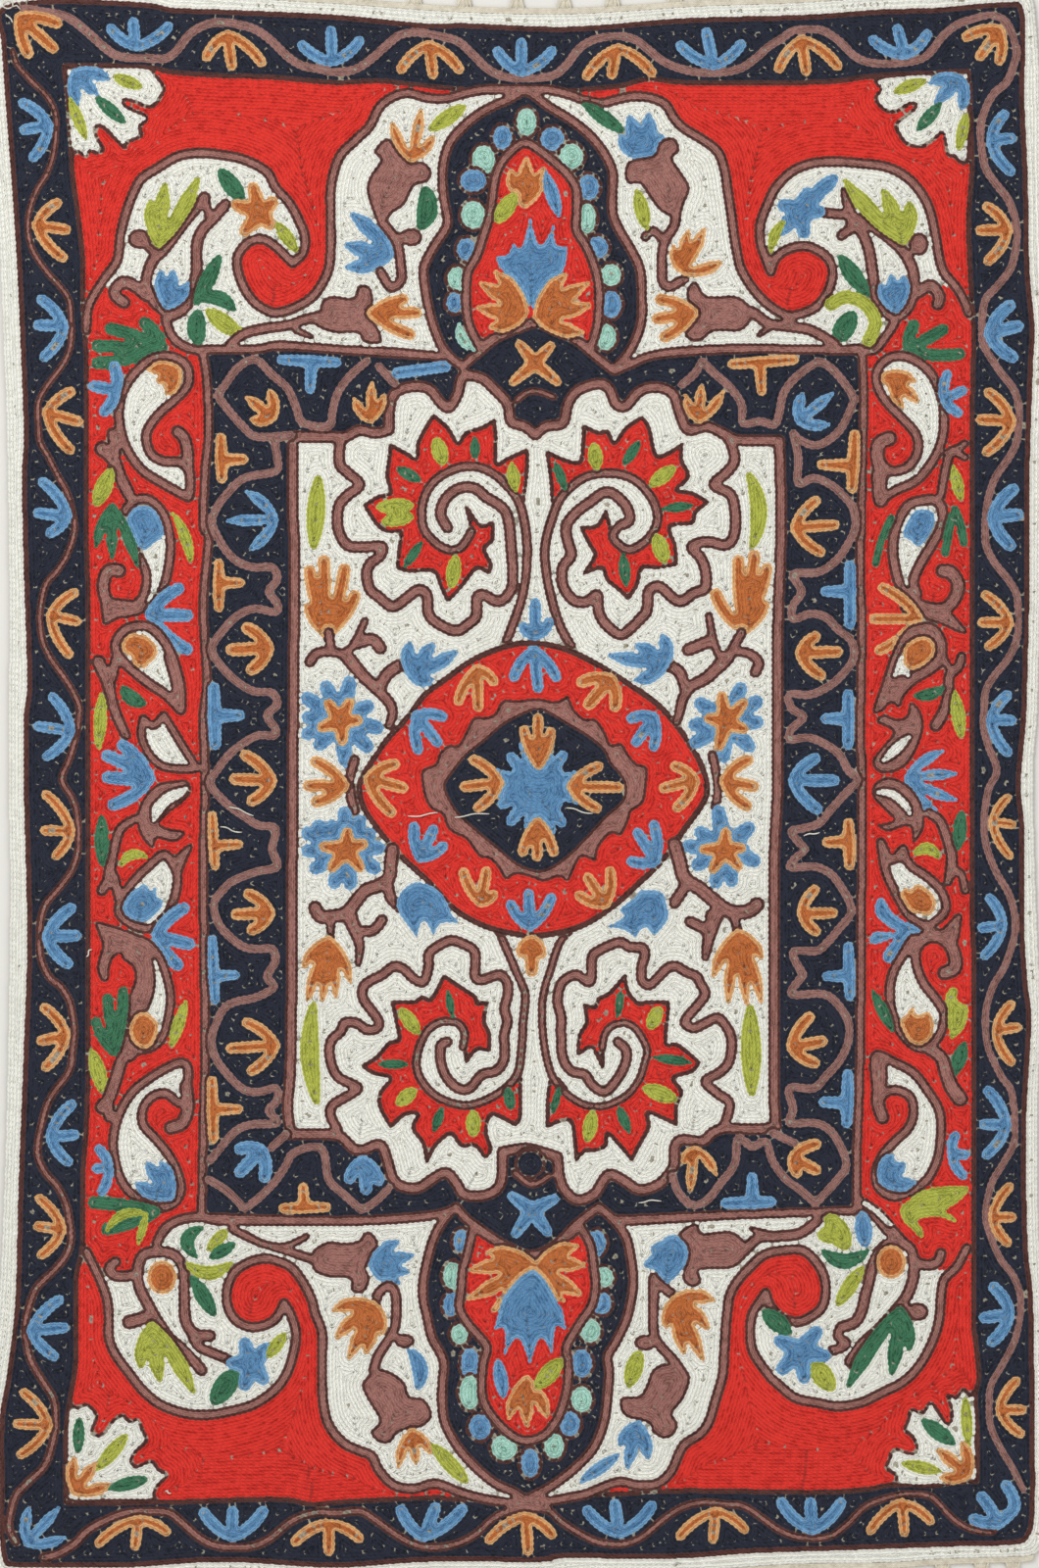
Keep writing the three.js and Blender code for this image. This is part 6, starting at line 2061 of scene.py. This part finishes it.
@dataclass
class Fringe:
    """One fringe: threads along the cloth's end, and a tassel for each tooth of the CAD comb.

    way is 1 at the top end and -1 at the bottom one. Sizes are in mm.
    """

    node_name: str
    way: float
    outline: np.ndarray
    rng: np.random.Generator
    strand_radius: float = 0.95
    end_from: float = 440.0
    edge_threads: tuple[float, ...] = (1.3, 2.3, 3.3)
    tip_from: float = 28.0
    tooth_gap: float = 5.0
    tooth_half: float = 10.0
    waist_span: Point = (34.0, 22.0)
    strands: int = 7
    strand_height: float = 1.4
    whips: int = 3
    whip_from: float = 6.0
    whip_step: float = 1.5
    whip_width: float = 5.4

    def build(self) -> bpy.types.Object:
        """Builds the fringe in the CAD comb's place.

        Returns:
            The piece.
        """
        shape = bpy.data.objects[self.node_name]
        points = np.array([tuple(shape.matrix_world @ v.co) for v in shape.data.vertices]) / MM
        edge = self.outline[self.outline[:, 1] * self.way > self.end_from]
        edge = edge[np.argsort(edge[:, 0])]
        # The edge sags, so each tooth is measured from its own stretch of it.
        drop = np.abs(points[:, 1]) - np.abs(np.interp(points[:, 0], edge[:, 0], edge[:, 1]))
        far = points[drop > self.tip_from]
        far = far[np.argsort(far[:, 0])]
        lines = []
        for across in self.edge_threads:
            x = np.linspace(edge[0, 0] + 4, edge[-1, 0] - 4, 400)
            y = np.interp(x, edge[:, 0], edge[:, 1]) + self.way * across
            z = self.strand_height + 0.25 * np.sin(x * 2.2 + across * 2)
            lines.append(np.stack([x, y, z], axis=1))
        teeth = np.split(far, np.nonzero(np.diff(far[:, 0]) > self.tooth_gap)[0] + 1)
        for tooth in teeth:
            tip_x = float(tooth[:, 0].min() + tooth[:, 0].max()) / 2
            lines += self.tassel(tip_x, float(np.abs(tooth[:, 1]).max()), points, edge)
        piece = tubes(f"{self.node_name}_strands", lines, self.strand_radius)
        piece.data.materials.append(FRINGE_COTTON.material())
        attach(piece, "root")
        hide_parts(self.node_name)
        triangles = len(piece.data.polygons)
        LOG.info("%s: %d tassels, %d lines, %d triangles", piece.name, len(teeth), len(lines), triangles)
        return piece

    def tassel(self, tip_x: float, end: float, points: np.ndarray, edge: np.ndarray) -> list[np.ndarray]:
        """Lays the strands of one tassel and the whipping round its waist.

        Args:
            tip_x: Where its tip lies.
            end: How far out its tip reaches.
            points: The points of the CAD comb.
            edge: The panel's edge.

        Returns:
            The strands' lines.
        """
        tooth = points[np.abs(points[:, 0] - tip_x) < self.tooth_half]
        high, low = self.waist_span
        near = tooth[(np.abs(tooth[:, 1]) > end - high) & (np.abs(tooth[:, 1]) < end - low)]
        waist_x = float(near[:, 0].min() + near[:, 0].max()) / 2 if len(near) else tip_x
        root_y = float(np.interp(waist_x, edge[:, 0], edge[:, 1])) * self.way + 3.0
        t = np.linspace(0, 1, 12)
        lines = []
        for k, lane in enumerate(np.linspace(-1, 1, self.strands)):
            # Flared at its root, drawn in at the waist and loose again at the tip.
            spread = np.interp(t, (0, 0.22, 0.6, 1), (4.2, 1.7, 3.0, 3.6)) * lane
            sway = self.rng.normal(0, 0.35) * np.sin(np.pi * t) + 0.3 * np.sin(9 * t + k)
            x = waist_x + (tip_x - waist_x) * t**1.5 + spread + sway
            y = root_y + (end - 1.2 - float(self.rng.random()) * 3.0 - root_y) * t
            z = self.strand_height + 0.35 * np.cos(k * 2.1 + 3 * t)
            lines.append(np.stack([x, y * self.way, z], axis=1))
        turn = np.linspace(-0.5, 0.5, 9)
        for k in range(self.whips):
            y = root_y + self.whip_from + k * self.whip_step
            along = np.full(9, y * self.way) + turn * 0.8
            z = 1.6 + 0.5 * np.cos(turn * np.pi)
            lines.append(np.stack([waist_x + turn * self.whip_width, along, z], axis=1))
        return lines


class Rug:
    """The whole rug: its cloth, its stitched rows and its fringes."""

    def __init__(self) -> None:
        """Reads the CAD panel and seeds the hand's unevenness."""
        self.outline = outline_of("stitched_panel")
        self.rng = np.random.default_rng(20)

    def build(self) -> None:
        chart = Chart(self.outline)
        draw(chart, self.outline)
        rows = Stitcher(chart, self.rng).rows()
        cloth = BackingCloth(self.outline).build()
        pieces = StitchedRows(rows).build()
        for node_name, way in (("fringe_top", 1.0), ("fringe_bottom", -1.0)):
            pieces.append(Fringe(node_name, way, self.outline, self.rng).build())
        pieces.append(LooseThreads().build())


@dataclass(frozen=True)
class StudioPaper:
    """Uncoated backdrop paper: pale, matt and even, so that it shows only the rug's soft shadow."""

    colour: str = "#e6e4de"
    roughness: float = 0.95

    def material(self) -> bpy.types.Material:
        """Builds the paper."""
        made = bpy.data.materials.new("pale studio paper")
        made.use_nodes = True
        shader = made.node_tree.nodes["Principled BSDF"]
        shader.inputs["Base Color"].default_value = linear(self.colour)
        shader.inputs["Roughness"].default_value = self.roughness
        return made


@dataclass(frozen=True)
class Lamp:
    """A square soft light that faces the rug. Place and width are in metres, power in watts."""

    name: str
    place: tuple[float, float, float]
    power: float
    width: float

    def build(self) -> bpy.types.Object:
        """Builds the lamp, turned to the rug's middle."""
        light = bpy.data.lights.new(self.name, "AREA")
        light.energy = self.power
        light.size = self.width
        made = bpy.data.objects.new(self.name, light)
        made.location = self.place
        x, y, z = self.place
        made.rotation_euler = (math.atan2(math.hypot(x, y), z), 0, math.atan2(x, -y))
        bpy.context.scene.collection.objects.link(made)
        return made


@dataclass(frozen=True)
class Studio:
    """The floor, the lamps and a camera straight above, far enough off to keep the rug's edges square."""

    floor_half: float = 6.0
    lamps: tuple[Lamp, ...] = (
        Lamp("key", (-1.4, 1.5, 2.2), 42.0, 1.6),
        Lamp("fill", (1.8, -1.2, 2.4), 24.0, 2.2),
    )
    daylight: float = 0.55
    lens_mm: float = 100.0
    sensor_mm: float = 36.0
    seen_mm: float = 912.0
    aim_x_mm: float = 2.85
    face_mm: float = 3.0

    def build(self) -> None:
        """Builds the studio."""
        self.floor()
        [lamp.build() for lamp in self.lamps]
        world = bpy.data.worlds.new("studio")
        world.use_nodes = True
        sky = world.node_tree.nodes["Background"]
        sky.inputs["Color"].default_value = (1, 1, 1, 1)
        sky.inputs["Strength"].default_value = self.daylight
        scene = bpy.context.scene
        scene.world = world
        scene.view_settings.view_transform = "Standard"
        self.camera(scene)

    def floor(self) -> bpy.types.Object:
        """Lays the floor."""
        floor = bpy.data.objects.new("floor", bpy.data.meshes.new("floor"))
        half = self.floor_half
        corners = [(-half, -half, 0), (half, -half, 0), (half, half, 0), (-half, half, 0)]
        floor.data.from_pydata(corners, [], [(0, 1, 2, 3)])
        bpy.context.scene.collection.objects.link(floor)
        floor.data.materials.append(StudioPaper().material())
        return floor

    def camera(self, scene: bpy.types.Scene) -> None:
        """Hangs the camera above the rug, so that its frame is seen_mm high."""
        camera = bpy.data.cameras.new("camera")
        camera.lens = self.lens_mm
        camera.sensor_fit = "VERTICAL"
        camera.sensor_height = self.sensor_mm
        holder = bpy.data.objects.new("camera", camera)
        height = self.seen_mm * MM * self.lens_mm / self.sensor_mm + self.face_mm * MM
        holder.location = (self.aim_x_mm * MM, 0.0, height)
        scene.collection.objects.link(holder)
        scene.camera = holder


def main() -> None:
    """Builds the rug and its studio."""
    logging.basicConfig(level=logging.INFO, format="%(name)s: %(message)s")
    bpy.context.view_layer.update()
    Rug().build()
    Studio().build()


if __name__ == "__main__":
    main()
